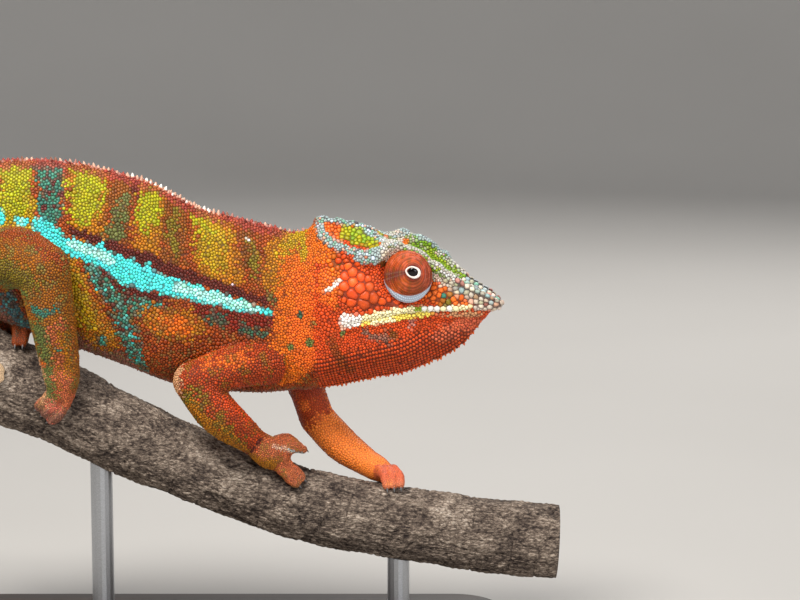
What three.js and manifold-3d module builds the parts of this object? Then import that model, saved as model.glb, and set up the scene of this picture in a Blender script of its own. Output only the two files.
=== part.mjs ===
// Adult male panther chameleon, life size, walking along a cut length of branch on a plain display stand.
// Millimetres, +Z up, +X the way the animal faces, +Y its left. Origin: the middle of the base's underside.
import * as THREE from "three";
import { mergeVertices } from "three/addons/utils/BufferGeometryUtils.js";
import Module from "manifold-3d";

const wasm = await Module();
wasm.setup();

// Driving dimensions
const gap = 0.3; // left between neighbouring solids
const mergeReach = 0.001; // corners closer than this are one
const fineGrid = 2 * mergeReach; // cut corners are rounded to this
const sideSteps = 12; // steps from the back to the belly in a body section
const mouthStep = 8; // the step at which the lips meet
const snoutTipX = 103.4;
const jawTipX = 98.3;
const headStartX = 34;
const neckStartX = 22;
const ventX = -99;
const perchLeftX = -113;
const perchRightX = 124;
const baseSize = { length: 210, width: 112, thickness: 12, cornerRadius: 18 };
const rodRadius = 4;
const rodPlacesX = [-42, 66];
const headTurn = { yaw: -8, roll: -4, fromX: 20, toX: 42, pivotZ: 134 }; // degrees, eased in along the neck
// How finely each part is divided, along its length and round it.
const steps = { head: 24, jaw: 16, neck: 3, trunk: 14, tail: 8, limb: 5, palm: 4, toes: 5, perch: 17 };
const sides = { eye: 16, limb: 10, palm: 9, perch: 16, stub: 10, rod: 16, claw: 6 };

// A smooth curve through [place, value] knots: cubic pieces with slopes taken from the neighbouring knots.
function along(knots) {
  const slopes = knots.map((knot, i) => {
    const before = knots[Math.max(i - 1, 0)];
    const after = knots[Math.min(i + 1, knots.length - 1)];
    return (after[1] - before[1]) / (after[0] - before[0]);
  });
  return (place) => {
    const last = knots.length - 1;
    if (place <= knots[0][0]) return knots[0][1];
    if (place >= knots[last][0]) return knots[last][1];
    const i = knots.findIndex((knot) => knot[0] > place) - 1;
    const span = knots[i + 1][0] - knots[i][0];
    const t = (place - knots[i][0]) / span;
    const rise = (2 * t - 3) * t * t + 1;
    return (
      rise * knots[i][1] +
      (1 - rise) * knots[i + 1][1] +
      span * t * (1 - t) * ((1 - t) * slopes[i] - t * slopes[i + 1])
    );
  };
}

const smooth = (t) => THREE.MathUtils.smoothstep(t, 0, 1);
const spaced = (from, to, count) =>
  Array.from({ length: count + 1 }, (_, i) => from + ((to - from) * i) / count);

// Solids: a loft joins rings of equal length and closes both ends with a fan.
function loft(rings) {
  const around = rings[0].length;
  const points = rings.flat();
  const faces = [];
  for (let i = 0; i + 1 < rings.length; i++)
    for (let j = 0; j < around; j++) {
      const [a, b] = [i * around + j, i * around + ((j + 1) % around)];
      faces.push(a, b, b + around, a, b + around, a + around);
    }
  for (const [ring, first, backwards] of [
    [rings[0], 0, true],
    [rings[rings.length - 1], (rings.length - 1) * around, false],
  ]) {
    const middle = points.length;
    points.push(ring.reduce((sum, p) => sum.add(p), new THREE.Vector3()).divideScalar(around));
    for (let j = 0; j < around; j++) {
      const [a, b] = [first + j, first + ((j + 1) % around)];
      faces.push(...(backwards ? [b, a, middle] : [a, b, middle]));
    }
  }
  return facingOut(new THREE.BufferGeometry().setFromPoints(points).setIndex(faces));
}

// Turns every face round where a closed mesh has a negative volume.
function facingOut(geometry) {
  const at = geometry.getAttribute("position");
  const index = geometry.index.array;
  const corner = (i) => new THREE.Vector3().fromBufferAttribute(at, index[i]);
  let volume = 0;
  for (let i = 0; i < index.length; i += 3)
    volume += corner(i).dot(corner(i + 1).cross(corner(i + 2)));
  if (volume < 0)
    for (let i = 0; i < index.length; i += 3)
      [index[i + 1], index[i + 2]] = [index[i + 2], index[i + 1]];
  return geometry;
}

function toSolid(geometry) {
  const bare = geometry.clone();
  bare.deleteAttribute("normal");
  bare.deleteAttribute("uv");
  const merged = mergeVertices(bare, mergeReach);
  return new wasm.Manifold(
    new wasm.Mesh({
      numProp: 3,
      vertProperties: merged.attributes.position.array,
      triVerts: new Uint32Array(merged.index.array),
    }),
  );
}

// The largest body of a solid, as a geometry: a cut can leave a sliver on the far side.
// Corners are rounded to a fine grid and faces that this closes up are left out.
function toGeometry(solid) {
  const bodies = solid.decompose();
  const largest = bodies.reduce((best, body) => (body.volume() > best.volume() ? body : best));
  const mesh = largest.getMesh();
  const rounded = mesh.vertProperties.map((v) => Math.round(v / fineGrid) * fineGrid);
  const merged = mergeVertices(
    new THREE.BufferGeometry()
      .setAttribute("position", new THREE.BufferAttribute(rounded, 3))
      .setIndex(new THREE.BufferAttribute(mesh.triVerts, 1)),
    mergeReach,
  );
  const faces = [];
  for (let i = 0; i < merged.index.count; i += 3) {
    const [a, b, c] = merged.index.array.slice(i, i + 3);
    if (a !== b && b !== c && c !== a) faces.push(a, b, c);
  }
  return merged.setIndex(faces);
}

const joined = (geometries) => geometries.map(toSolid).reduce((sum, s) => sum.add(s));
const cutBy = (geometry, ...tools) =>
  toGeometry(tools.reduce((left, tool) => left.subtract(tool), toSolid(geometry)));

// ---- Materials ----
const skinColours = {
  back: 0x8a7a16,
  flank: 0xb0501c,
  head: 0xc8411a,
  limb: 0xb8501e,
  tail: 0x9a4a22,
};
const skin = (colour) => new THREE.MeshStandardMaterial({ color: colour, roughness: 0.55, metalness: 0 });
const skins = Object.fromEntries(Object.entries(skinColours).map(([name, c]) => [name, skin(c)]));
const eyeMaterial = new THREE.MeshStandardMaterial({ color: 0xb03a24, roughness: 0.45, metalness: 0 });
const clawMaterial = new THREE.MeshStandardMaterial({ color: 0xd8cbb4, roughness: 0.4, metalness: 0 });
const barkMaterial = new THREE.MeshStandardMaterial({ color: 0x6e6258, roughness: 0.9, metalness: 0 });
const baseMaterial = new THREE.MeshStandardMaterial({ color: 0x2c2826, roughness: 0.5, metalness: 0 });
const steelMaterial = new THREE.MeshStandardMaterial({ color: 0xb9bcc0, roughness: 0.35, metalness: 1 });

const chameleon = new THREE.Group();

function place(name, geometry, material) {
  geometry.computeVertexNormals();
  const mesh = new THREE.Mesh(geometry, material);
  mesh.name = name;
  chameleon.add(mesh);
}

// ---- Body sections, along X ----
// Back and belly lines, and the half width, of trunk and neck.
const backLine = along([
  [-99, 179.4], [-88, 184.2], [-76, 186.6], [-62, 187], [-48, 185.6], [-36, 182.8],
  [-23, 179.2], [-14, 174.4], [-4, 169.4], [6, 166.6], [18, 163.6], [29, 161], [34, 162.6],
]);
const bellyLine = along([
  [-99, 141.4], [-88, 132.6], [-77, 128.2], [-66, 124], [-50, 118.4], [-32, 111.8],
  [-16, 105.6], [-2, 103.2], [14, 102], [28, 102.6], [36, 102.6],
]);
const trunkWidth = along([
  [-99, 8.6], [-88, 10.4], [-76, 12.4], [-60, 14.4], [-40, 15.8], [-20, 15.6], [0, 14.6],
  [16, 13.4], [30, 12.6], [36, 12.6],
]);

// A side of an upright oval section, keeled at the back and widest a little below the middle:
// the half width goes as the sine of the way down, the height as its cosine.
const widestBias = 1.15;
const keel = 1.1;

function ovalSide(halfHeight, halfWidth) {
  return spaced(0, 1, sideSteps).map((k) => [
    halfWidth * Math.pow(Math.max(Math.sin(Math.PI * Math.pow(k, widestBias)), 0), keel),
    halfHeight * Math.cos(Math.PI * k),
  ]);
}

// Lengthwise lines of the head, each with its half width y and its height z, from the crown to the throat.
const headLines = [
  { step: 0, y: [[34, 0], [104, 0]],
    z: [[34, 160.8], [35.6, 166.2], [38.5, 167.5], [46.5, 166], [54.4, 164], [60, 161.4], [66, 158.2],
      [72, 155], [78, 151.6], [84, 147.6], [90, 143.8], [96, 140.6], [100, 138.6], [103.4, 136.6]] },
  { step: 2, y: [[34, 3.4], [38, 4], [44, 6.6], [52, 9], [60, 10.6], [68, 11], [76, 10], [84, 8],
      [90, 6.8], [96, 5.6], [101, 4], [103.4, 2.4]],
    z: [[34, 158.6], [38, 160.6], [42, 158.2], [48, 156.2], [54, 155.8], [60, 157], [66, 158.8],
      [72, 157.4], [78, 153.8], [84, 149.2], [90, 145.4], [96, 142.2], [100, 140], [103.4, 137.2]] },
  { step: 4, y: [[34, 8.4], [42, 9.2], [50, 10.4], [60, 10.2], [70, 9.6], [80, 8.6], [88, 7.2],
      [96, 4.8], [101, 3.6], [103.4, 2.2]],
    z: [[34, 150], [42, 150.4], [50, 149.4], [60, 149.6], [70, 149.8], [80, 146], [88, 142.2],
      [96, 139], [103.4, 136.4]] },
  { step: 6, y: [[34, 12.4], [44, 13.6], [54, 13.8], [64, 12.4], [74, 11.2], [84, 9.2], [92, 6],
      [98, 3.8], [103.4, 2.2]],
    z: [[34, 138], [46, 141], [60, 140.6], [74, 140.4], [86, 139], [94, 137], [103.4, 135.6]] },
  { step: 8, y: [[34, 13], [46, 13.8], [58, 13], [68, 11.8], [78, 9.8], [86, 7.6], [92, 5.2],
      [96, 3.6], [99, 2.6], [103.4, 1.6]],
    z: [[34, 124], [46, 130.6], [56, 133.2], [66, 134.4], [78, 134.4], [90, 133.8], [99, 133.4],
      [103.4, 134.8]] },
  { step: 10, y: [[34, 11], [46, 11.6], [58, 11], [70, 9.4], [80, 6.8], [88, 4.6], [94, 3], [98.3, 1.8]],
    z: [[34, 110], [46, 115], [58, 117.6], [70, 119.4], [80, 122.6], [88, 126.2], [94, 129.4],
      [98.3, 131.6]] },
  { step: 12, y: [[34, 0], [104, 0]],
    z: [[34, 102.6], [42, 103.4], [50, 105.2], [58, 107.2], [68, 109.2], [76, 112.4], [84, 116.2],
      [90, 120.2], [93, 124], [96, 128.6], [98.3, 131.4]] },
].map((line) => ({ step: line.step, y: along(line.y), z: along(line.z) }));

const headBlend = 3; // the length over which the neck's section turns into the head's

// One side of a body section at x, from back to belly, as [y, z], grown outwards by `grow`.
function bodySide(x, grow) {
  const halfHeight = (backLine(x) - bellyLine(x)) / 2;
  const middle = (backLine(x) + bellyLine(x)) / 2;
  const trunk = ovalSide(halfHeight + grow, trunkWidth(x) + grow).map(([y, dz]) => [y, middle + dz]);
  if (x <= headStartX) return trunk;
  const lines = headLines.map((line) => [line.step, line.y(x), line.z(x)]);
  const [across, up] = [1, 2].map((column) => along(lines.map((row) => [row[0], row[column]])));
  const share = smooth((x - headStartX) / headBlend);
  return trunk.map(([y, z], step) => {
    const lift = grow * Math.cos((Math.PI * step) / sideSteps);
    const headY = across(step) + (step % sideSteps ? grow : 0);
    return [y + (headY - y) * share, z + (up(step) + lift - z) * share];
  });
}

// Carries a point of the straight body to where the turned neck and head put it.
function turned(point) {
  const share = smooth((point.x - headTurn.fromX) / (headTurn.toX - headTurn.fromX));
  const pivot = new THREE.Vector3((headTurn.fromX + headTurn.toX) / 2, 0, headTurn.pivotZ);
  const roll = THREE.MathUtils.degToRad(-headTurn.roll * share);
  const yaw = THREE.MathUtils.degToRad(headTurn.yaw * share);
  const angles = new THREE.Euler(roll, 0, yaw, "ZXY");
  return point.clone().sub(pivot).applyEuler(angles).add(pivot);
}

// Rings of the body between two places, whole or only the part above or below the lips.
function bodyRings(fromX, toX, count, { part = "whole", grow = 0 } = {}) {
  const first = part === "lower" ? mouthStep : 0;
  const last = part === "upper" ? mouthStep : sideSteps;
  const shift = { whole: 0, upper: gap / 2, lower: -gap / 2 }[part];
  return spaced(fromX, toX, count).map((x) => {
    const side = bodySide(x, grow);
    const right = [];
    for (let step = first; step <= last; step++) {
      const [y, z] = side[step];
      right.push(new THREE.Vector3(x, -y, z + (step === mouthStep ? shift : 0)));
    }
    const left = right.filter((p) => p.y < -1e-6).map((p) => new THREE.Vector3(p.x, -p.y, p.z));
    return [...right, ...left.reverse()].map(turned);
  });
}

// ---- Head, jaw and eyes ----
const eyePlace = { x: 71.4, y: 10.4, z: 147.8, turnForward: 6 }; // mirrored for the left eye
const eyeSeat = -3; // the turret's flat back, inside the orbit
const eyeHeight = 7.8;
const eyeProfile = [
  [0, eyeSeat], [7.6, eyeSeat], [8.6, -0.6], [8.3, 1.8], [7.1, 4.2], [5.2, 6.2], [3.2, 7.4], [1.9, 7.7],
  [0, eyeHeight],
];
const eyeTallness = 1.13;

function eyeTurret(side, grow) {
  const profile = eyeProfile.map(([r, h]) => new THREE.Vector2(
    r ? r + grow : 0, h + grow * (h === eyeSeat ? -1 : h / eyeHeight),
  ));
  const geometry = new THREE.LatheGeometry(profile, sides.eye);
  geometry.rotateX(side < 0 ? Math.PI : 0);
  geometry.scale(1, 1, eyeTallness);
  geometry.rotateZ(THREE.MathUtils.degToRad(-eyePlace.turnForward * side));
  geometry.translate(eyePlace.x, side * eyePlace.y, eyePlace.z);
  return turnedGeometry(geometry);
}

function turnedGeometry(geometry) {
  const at = geometry.getAttribute("position");
  for (let i = 0; i < at.count; i++) {
    const p = turned(new THREE.Vector3().fromBufferAttribute(at, i));
    at.setXYZ(i, p.x, p.y, p.z);
  }
  return facingOut(mergeVertices(stripped(geometry), mergeReach));
}

function stripped(geometry) {
  geometry.deleteAttribute("normal");
  geometry.deleteAttribute("uv");
  return geometry;
}

const eyeSides = { right: -1, left: 1 };
const eyeRooms = Object.values(eyeSides).map((side) => toSolid(eyeTurret(side, gap)));
const headSolid = loft(bodyRings(headStartX + gap, snoutTipX, steps.head, { part: "upper" }));
place("head", cutBy(headSolid, ...eyeRooms), skins.head);
place("lower_jaw", loft(bodyRings(headStartX + gap, jawTipX, steps.jaw, { part: "lower" })), skins.head);
for (const [name, side] of Object.entries(eyeSides)) place(`eye_${name}`, eyeTurret(side, 0), eyeMaterial);

// ---- Trunk and neck ----
place("neck", loft(bodyRings(neckStartX + gap, headStartX, steps.neck)), skins.flank);
place("trunk", loft(bodyRings(ventX + gap, neckStartX, steps.trunk)), skins.back);

// The room that the body takes, which tail and limbs are cut back from.
const bodyRoomEndX = 90;
const bodyRoomStep = 3.5;
const bodyRoomSteps = Math.round((bodyRoomEndX - ventX) / bodyRoomStep);
const wholeBody = toSolid(loft(bodyRings(ventX, bodyRoomEndX, bodyRoomSteps, { grow: 1.5 * gap })));

// ---- Tail: a straight run behind the vent, then a spiral that curls under ----
const spiral = { x: -144, z: 130.4, startAngle: 105, sweep: 590, startRadius: 26, endRadius: 6.6 };
const tailDrift = 9; // how far the coil lies to the animal's left
const tailHalfHeight = along([
  [0, 18.8], [0.05, 13.4], [0.11, 9.8], [0.18, 7.6], [0.26, 6], [0.45, 4.7], [0.7, 3.2], [1, 1.3],
]);
const tailFlatness = along([[0, 0.46], [0.05, 0.58], [0.11, 0.72], [0.2, 0.82], [1, 0.86]]);
const spiralSteps = 34;

function spiralPoint(share) {
  const angle = THREE.MathUtils.degToRad(spiral.startAngle + spiral.sweep * share);
  const radius = THREE.MathUtils.lerp(spiral.startRadius, spiral.endRadius, share);
  const centre = new THREE.Vector3(spiral.x, tailDrift, spiral.z);
  return centre.add(new THREE.Vector3(Math.cos(angle), 0, Math.sin(angle)).multiplyScalar(radius));
}

const tailCurve = new THREE.CatmullRomCurve3([
  new THREE.Vector3(ventX, 0, 160.2),
  new THREE.Vector3(-109, 0.3, 159.8),
  new THREE.Vector3(-121, 2, 160.2),
  new THREE.Vector3(-136, 6, 159.2),
  ...spaced(0, 1, spiralSteps).map(spiralPoint),
], false, "centripetal");
tailCurve.arcLengthDivisions = 20 * spiralSteps;

function tailRing(share) {
  const centre = tailCurve.getPointAt(share);
  const heading = tailCurve.getTangentAt(share);
  const up = new THREE.Vector3(heading.z, 0, -heading.x).normalize(); // towards the animal's back
  const halfHeight = tailHalfHeight(share);
  const side = ovalSide(halfHeight, halfHeight * tailFlatness(share)).filter((_, i) => i % 2 === 0);
  const at = (y, n) => centre.clone().addScaledVector(up, n).add(new THREE.Vector3(0, y, 0));
  const right = side.map(([y, n]) => at(-y, n));
  const left = side.slice(1, -1).reverse().map(([y, n]) => at(y, n));
  return [...right, ...left];
}

const tailSplits = [0, 0.17, 0.36, 0.56, 0.77, 1]; // shares of its length where the tail is divided
const tailGapShare = gap / tailCurve.getLength();
for (let i = 0; i + 1 < tailSplits.length; i++) {
  const length = loft(spaced(tailSplits[i] + tailGapShare, tailSplits[i + 1], steps.tail).map(tailRing));
  place(`tail_${i + 1}`, i === 0 ? cutBy(length, wholeBody) : length, skins.tail);
}

// ---- Perch: a cut length of branch ----
const perchHeight = along([
  [-114, 125.4], [-96, 116.8], [-78, 107.4], [-60, 99.8], [-42, 90.8], [-24, 82], [-6, 74.2],
  [12, 67], [30, 61], [48, 57], [66, 53.9], [85, 50.9], [103, 48.3], [121, 46.8], [140, 46],
]);
const perchRadius = along([
  [-114, 15.4], [-80, 16], [-60, 15.2], [-30, 14.2], [0, 13.2], [30, 13.6], [66, 13.4], [124, 13.8],
]);

// A point beside the perch: x along it, the angle from its top towards the animal's right, and the
// lift off the bark.
function onPerch(x, angle, lift) {
  const slope = (perchHeight(x + 1) - perchHeight(x - 1)) / 2;
  const up = new THREE.Vector3(-slope, 0, 1).normalize();
  const reach = perchRadius(x) + lift;
  return new THREE.Vector3(x, 0, perchHeight(x))
    .addScaledVector(up, reach * Math.cos(THREE.MathUtils.degToRad(angle)))
    .add(new THREE.Vector3(0, -reach * Math.sin(THREE.MathUtils.degToRad(angle)), 0));
}

function perchLoft(grow) {
  const angles = spaced(0, 360, sides.perch).slice(0, -1);
  const places = spaced(perchLeftX, perchRightX, steps.perch);
  return loft(places.map((x) => angles.map((angle) => onPerch(x, angle, grow))));
}

// The sawn stub of a side branch, facing the animal's right.
const stub = { x: -80, angle: 76, radius: 4.6, rootLift: -5, tipLift: 3 };

function stubCylinder() {
  const [root, tip] = [stub.rootLift, stub.tipLift].map((lift) => onPerch(stub.x, stub.angle, lift));
  return rodBetween(root, tip, stub.radius, sides.stub);
}

// Turns a shape made along +Y to a direction.
function aimed(geometry, direction) {
  const turn = new THREE.Quaternion().setFromUnitVectors(new THREE.Vector3(0, 1, 0), direction);
  return geometry.applyQuaternion(turn);
}

function rodBetween(from, to, radius, around) {
  const rod = new THREE.CylinderGeometry(radius, radius, from.distanceTo(to), around);
  const middle = from.clone().lerp(to, 0.5);
  return aimed(rod, to.clone().sub(from).normalize()).translate(...middle.toArray());
}

place("perch", toGeometry(joined([perchLoft(0), stubCylinder()])), barkMaterial);
const perchRoom = toSolid(perchLoft(gap));

// ---- Limbs ----
const elbowInset = 0.94; // the lower half of a leg starts this much slimmer, inside the elbow's curve
const elbowReaches = [0.5, 0.85]; // rings of the elbow's dome, as shares of its radius

const sideReference = new THREE.Vector3(0.25, 1, 0.1); // no limb points this way, so each ring has a start

// Rings square to a curve, grown outwards, and lengthways at both ends, by `grow`.
function tubeRings(curve, radiusAt, count, around, grow) {
  return spaced(0, 1, count).map((share) => {
    const heading = curve.getTangentAt(share);
    const endShift = share === 0 ? -grow : share === 1 ? grow : 0;
    const centre = curve.getPointAt(share).addScaledVector(heading, endShift);
    const out = sideReference.clone().cross(heading).normalize();
    const across = heading.clone().cross(out);
    const radius = radiusAt(share) + grow;
    return spaced(0, 2 * Math.PI, around).slice(0, -1).map((angle) =>
      centre.clone()
        .addScaledVector(out, radius * Math.cos(angle))
        .addScaledVector(across, radius * Math.sin(angle)));
  });
}

// The half of a leg that starts at a place of its path, with a rounded end where the elbow or knee is.
function limbLength(leg, start, grow, roundEnd) {
  const points = leg.path.slice(start, start + 3).map((p) => new THREE.Vector3(...p));
  const curve = new THREE.CatmullRomCurve3(points, false, "centripetal");
  const inset = roundEnd ? 1 : elbowInset;
  const radius = along(leg.radii.slice(start, start + 3).map((r, i) => [i / 2, i === 0 ? r * inset : r]));
  const rings = tubeRings(curve, radius, steps.limb, sides.limb, grow);
  const lastRing = rings[steps.limb];
  const end = curve.getPointAt(1);
  const heading = curve.getTangentAt(1);
  for (const reach of roundEnd ? elbowReaches : []) {
    const shrink = Math.sqrt(1 - reach * reach);
    const middle = end.clone().addScaledVector(heading, radius(1) * reach);
    rings.push(lastRing.map((p) => middle.clone().addScaledVector(p.clone().sub(end), shrink)));
  }
  return loft(rings);
}

// Each leg: five places from root to wrist or ankle with their radii, a palm [x, angle round the perch,
// lift, radius], the width of a toe, and two bundles of fused toes whose stations are [x, angle, lift]
// like the palm's.
const legs = {
  front_right: {
    names: ["upper_arm", "forearm", "hand"],
    path: [[21, -5, 115], [7, -15, 114], [-6.4, -20.6, 110], [1.6, -19, 98.6], [14.4, -12.6, 86.4]],
    radii: [9, 8, 7.5, 7.6, 5.2],
    palm: [16.4, 34, 5.8, 6],
    toeWidth: 3.6,
    bundles: {
      outer: { toes: 2, stations: [[20, 39, 4.8], [24.4, 45, 3.6], [28.4, 50, 2.4]] },
      inner: { toes: 3, stations: [[18, 19, 9], [21.6, 14, 8.8], [25, 10, 7.6]] },
    },
  },
  front_left: {
    names: ["upper_arm", "forearm", "hand"],
    path: [[29, 6, 112], [32.6, 14.6, 99.6], [36, 18.6, 88.6], [45.4, 15, 79.4], [54.6, 9, 74]],
    radii: [8, 6.8, 6.8, 6.8, 5.4],
    palm: [57.6, -14, 3.8, 5],
    toeWidth: 2.9,
    bundles: {
      outer: { toes: 2, stations: [[58.8, -34, 3.8], [60.2, -60, 3.2], [61, -82, 2]] },
      inner: { toes: 3, stations: [[59, 0, 4.8], [61, 14, 4.2], [62.2, 28, 2.2]] },
    },
  },
  hind_right: {
    names: ["thigh", "shank", "foot"],
    path: [[-80, -4, 151], [-68, -16, 153.4], [-58.6, -23.6, 150.6], [-56, -22, 134], [-54, -17, 115.5]],
    radii: [11, 11.2, 9.8, 8.4, 7.2],
    palm: [-57.2, 62, 5.2, 6.4],
    toeWidth: 3.6,
    bundles: {
      outer: { toes: 3, stations: [[-57.2, 74, 4.4], [-57.8, 86, 3.6], [-59.6, 99, 2.2]] },
      inner: { toes: 2, stations: [[-59.6, 24, 4.2], [-62, -30, 3.4], [-62.6, -72, 2]] },
    },
  },
  hind_left: {
    names: ["thigh", "shank", "foot"],
    path: [[-82, 4, 149], [-89, 15, 148], [-94, 22, 141], [-90, 20, 133.4], [-85, 13, 127.6]],
    radii: [10.6, 10.2, 8.8, 7.6, 6.2],
    palm: [-83, -30, 4.4, 5.8],
    toeWidth: 3.2,
    bundles: {
      outer: { toes: 3, stations: [[-82, -50, 4.2], [-80.4, -76, 3.6], [-79, -100, 2]] },
      inner: { toes: 2, stations: [[-80, -6, 4.2], [-77.4, 14, 3.4], [-76, 30, 2]] },
    },
  },
};

// A bundle of fused toes, flat on the bark: each cross section is wide and low, full at the middle of
// each toe, with a groove between two toes and a rounded edge outside the last.
const toeRootShare = 0.12; // the bundle starts this far along its path, inside the palm
const toeEdge = 0.6; // how much thinner a bundle is at its two edges
const toeThickness = along([[0, 3], [0.4, 2.6], [0.85, 2.2], [1, 1.2]]);
const toeSpread = along([[0, 0.9], [0.5, 1], [0.85, 1.02], [1, 0.86]]);
const toeGroove = along([[0, 0.1], [0.5, 0.25], [1, 0.55]]);

function toeFrame(leg, bundle, share) {
  const points = [leg.palm.slice(0, 3), ...bundle.stations].map((station) => onPerch(...station));
  const curve = new THREE.CatmullRomCurve3(points, false, "centripetal");
  const centre = curve.getPointAt(share);
  const heading = curve.getTangentAt(share);
  const fromPerch = new THREE.Vector3(0, centre.y, centre.z - perchHeight(centre.x)).normalize();
  const across = heading.clone().cross(fromPerch).normalize();
  return { centre, heading, across, out: across.clone().cross(heading) };
}

function toeBundle(leg, bundle, grow) {
  const widthSteps = 2 * bundle.toes;
  const rings = spaced(toeRootShare, 1, steps.toes).map((share) => {
    const { centre, heading, across, out } = toeFrame(leg, bundle, share);
    const halfWidth = (bundle.toes * leg.toeWidth * toeSpread(share)) / 2;
    const outline = (side) => spaced(0, 1, widthSteps).map((k, i) => {
      const valley = i % 2 ? 0 : i % widthSteps ? toeGroove(share) : toeEdge;
      return centre.clone()
        .addScaledVector(heading, share === 1 ? grow : 0)
        .addScaledVector(across, (halfWidth + grow) * (2 * k - 1))
        .addScaledVector(out, side * (toeThickness(share) * (1 - valley) + grow));
    });
    return [...outline(1), ...outline(-1).reverse()];
  });
  return loft(rings);
}

// A horn claw: a cone that carries on from a toe's tip and dips towards the bark.
const clawLength = 2.2;
const clawRadius = 0.65;
const clawDip = 0.14;

function claw(leg, bundle, number) {
  const { centre, heading, across, out } = toeFrame(leg, bundle, 1);
  const halfWidth = (bundle.toes * leg.toeWidth * toeSpread(1)) / 2;
  const root = centre.addScaledVector(across, halfWidth * ((2 * number + 1) / bundle.toes - 1));
  const direction = heading.addScaledVector(out, -clawDip).normalize();
  const cone = aimed(new THREE.ConeGeometry(clawRadius, clawLength, sides.claw), direction);
  return cone.translate(...root.addScaledVector(direction, clawLength / 2 + gap).toArray());
}

// The palm or sole: it carries on from the wrist or ankle and narrows a little past its middle.
function palmLoft(leg, grow) {
  const [x, angle, lift, radius] = leg.palm;
  const centre = onPerch(x, angle, lift);
  const wrist = new THREE.Vector3(...leg.path[4]);
  const curve = new THREE.CatmullRomCurve3([wrist, centre, centre.clone().lerp(wrist, -0.3)]);
  const width = along([[0, leg.radii[4]], [0.6, radius], [1, radius * 0.55]]);
  return loft(tubeRings(curve, width, steps.palm, sides.palm, grow));
}

for (const [legName, leg] of Object.entries(legs)) {
  const [upperName, lowerName, palmName] = leg.names.map((name) => `${name}_${legName}`);
  const upper = (grow) => limbLength(leg, 0, grow, true);
  const lower = (grow) => limbLength(leg, 2, grow, false);
  const taken = [perchRoom, wholeBody];
  place(upperName, cutBy(upper(0), wholeBody), skins.limb);
  place(lowerName, cutBy(lower(0), ...taken, toSolid(upper(gap))), skins.limb);
  taken.push(toSolid(lower(gap)));
  place(palmName, cutBy(palmLoft(leg, 0), ...taken), skins.limb);
  taken.push(toSolid(palmLoft(leg, gap)));

  for (const [bundleName, bundle] of Object.entries(leg.bundles)) {
    place(`toes_${bundleName}_${legName}`, cutBy(toeBundle(leg, bundle, 0), ...taken), skins.limb);
    taken.push(toSolid(toeBundle(leg, bundle, gap)));
    for (let number = 0; number < bundle.toes; number++) {
      const horn = cutBy(claw(leg, bundle, number), perchRoom);
      place(`claw_${bundleName}_${number + 1}_${legName}`, horn, clawMaterial);
    }
  }
}

// ---- Display stand: a flat base and two rods up to the perch ----
const cornerSteps = 5;

function basePlate() {
  const { length, width, thickness, cornerRadius: r } = baseSize;
  const outline = new THREE.Shape();
  for (const [i, [x, y]] of [[1, -1], [1, 1], [-1, 1], [-1, -1]].entries()) {
    const start = -Math.PI / 2 + (i * Math.PI) / 2;
    outline.absarc(x * (length / 2 - r), y * (width / 2 - r), r, start, start + Math.PI / 2, false);
  }
  const extrusion = { depth: thickness, bevelEnabled: false, curveSegments: cornerSteps };
  return new THREE.ExtrudeGeometry(outline, extrusion);
}

place("stand_base", mergeVertices(stripped(basePlate()), mergeReach), baseMaterial);
rodPlacesX.forEach((x, i) => {
  const foot = new THREE.Vector3(x, 0, baseSize.thickness);
  const head = new THREE.Vector3(x, 0, perchHeight(x));
  const rod = rodBetween(foot, head, rodRadius, sides.rod);
  place(`stand_rod_${i + 1}`, cutBy(rod, perchRoom), steelMaterial);
});

export default chameleon;
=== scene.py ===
from math import cos, pi, radians, sin

import bpy
import numpy as np
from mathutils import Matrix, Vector
from mathutils.bvhtree import BVHTree
from mathutils.kdtree import KDTree


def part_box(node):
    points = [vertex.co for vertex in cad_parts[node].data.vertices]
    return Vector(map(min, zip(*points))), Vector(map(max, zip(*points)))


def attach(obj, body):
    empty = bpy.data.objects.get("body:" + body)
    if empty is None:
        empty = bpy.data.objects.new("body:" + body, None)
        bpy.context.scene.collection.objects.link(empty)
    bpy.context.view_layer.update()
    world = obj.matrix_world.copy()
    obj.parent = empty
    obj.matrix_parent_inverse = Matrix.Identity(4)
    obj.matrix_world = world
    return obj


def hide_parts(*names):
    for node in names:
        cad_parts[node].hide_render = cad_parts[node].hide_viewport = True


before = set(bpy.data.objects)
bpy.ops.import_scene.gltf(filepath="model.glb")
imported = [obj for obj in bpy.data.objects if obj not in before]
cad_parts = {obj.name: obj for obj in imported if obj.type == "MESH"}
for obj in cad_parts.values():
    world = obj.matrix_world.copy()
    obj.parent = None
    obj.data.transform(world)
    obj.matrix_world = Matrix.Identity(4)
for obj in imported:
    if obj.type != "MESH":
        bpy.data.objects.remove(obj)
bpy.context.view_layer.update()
mm = 0.001  # shapes are worked out in millimetres of the part, +X forwards, +Y left, +Z up
rng = np.random.default_rng(11)


# Curves and paths

# Smooth curves through values at the same places: cubic pieces whose slopes come from the knots on both
# sides. value = rise * first + (1 - rise) * second + span * t * (1 - t) * (their slopes' share).
def rowsAlong(places, values, at):
    places, values = np.asarray(places, float), np.asarray(values, float)
    slopes = np.empty_like(values)
    slopes[..., 1:-1] = (values[..., 2:] - values[..., :-2]) / (places[2:] - places[:-2])
    slopes[..., 0] = (values[..., 1] - values[..., 0]) / (places[1] - places[0])
    slopes[..., -1] = (values[..., -1] - values[..., -2]) / (places[-1] - places[-2])
    at = np.clip(at, places[0], places[-1])
    i = np.clip(np.searchsorted(places, at, "right") - 1, 0, len(places) - 2)
    span = places[i + 1] - places[i]
    t = (at - places[i]) / span
    rise = (2 * t - 3) * t * t + 1
    lean = span * t * (1 - t) * ((1 - t) * slopes[..., i] - t * slopes[..., i + 1])
    return rise * values[..., i] + (1 - rise) * values[..., i + 1] + lean


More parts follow.
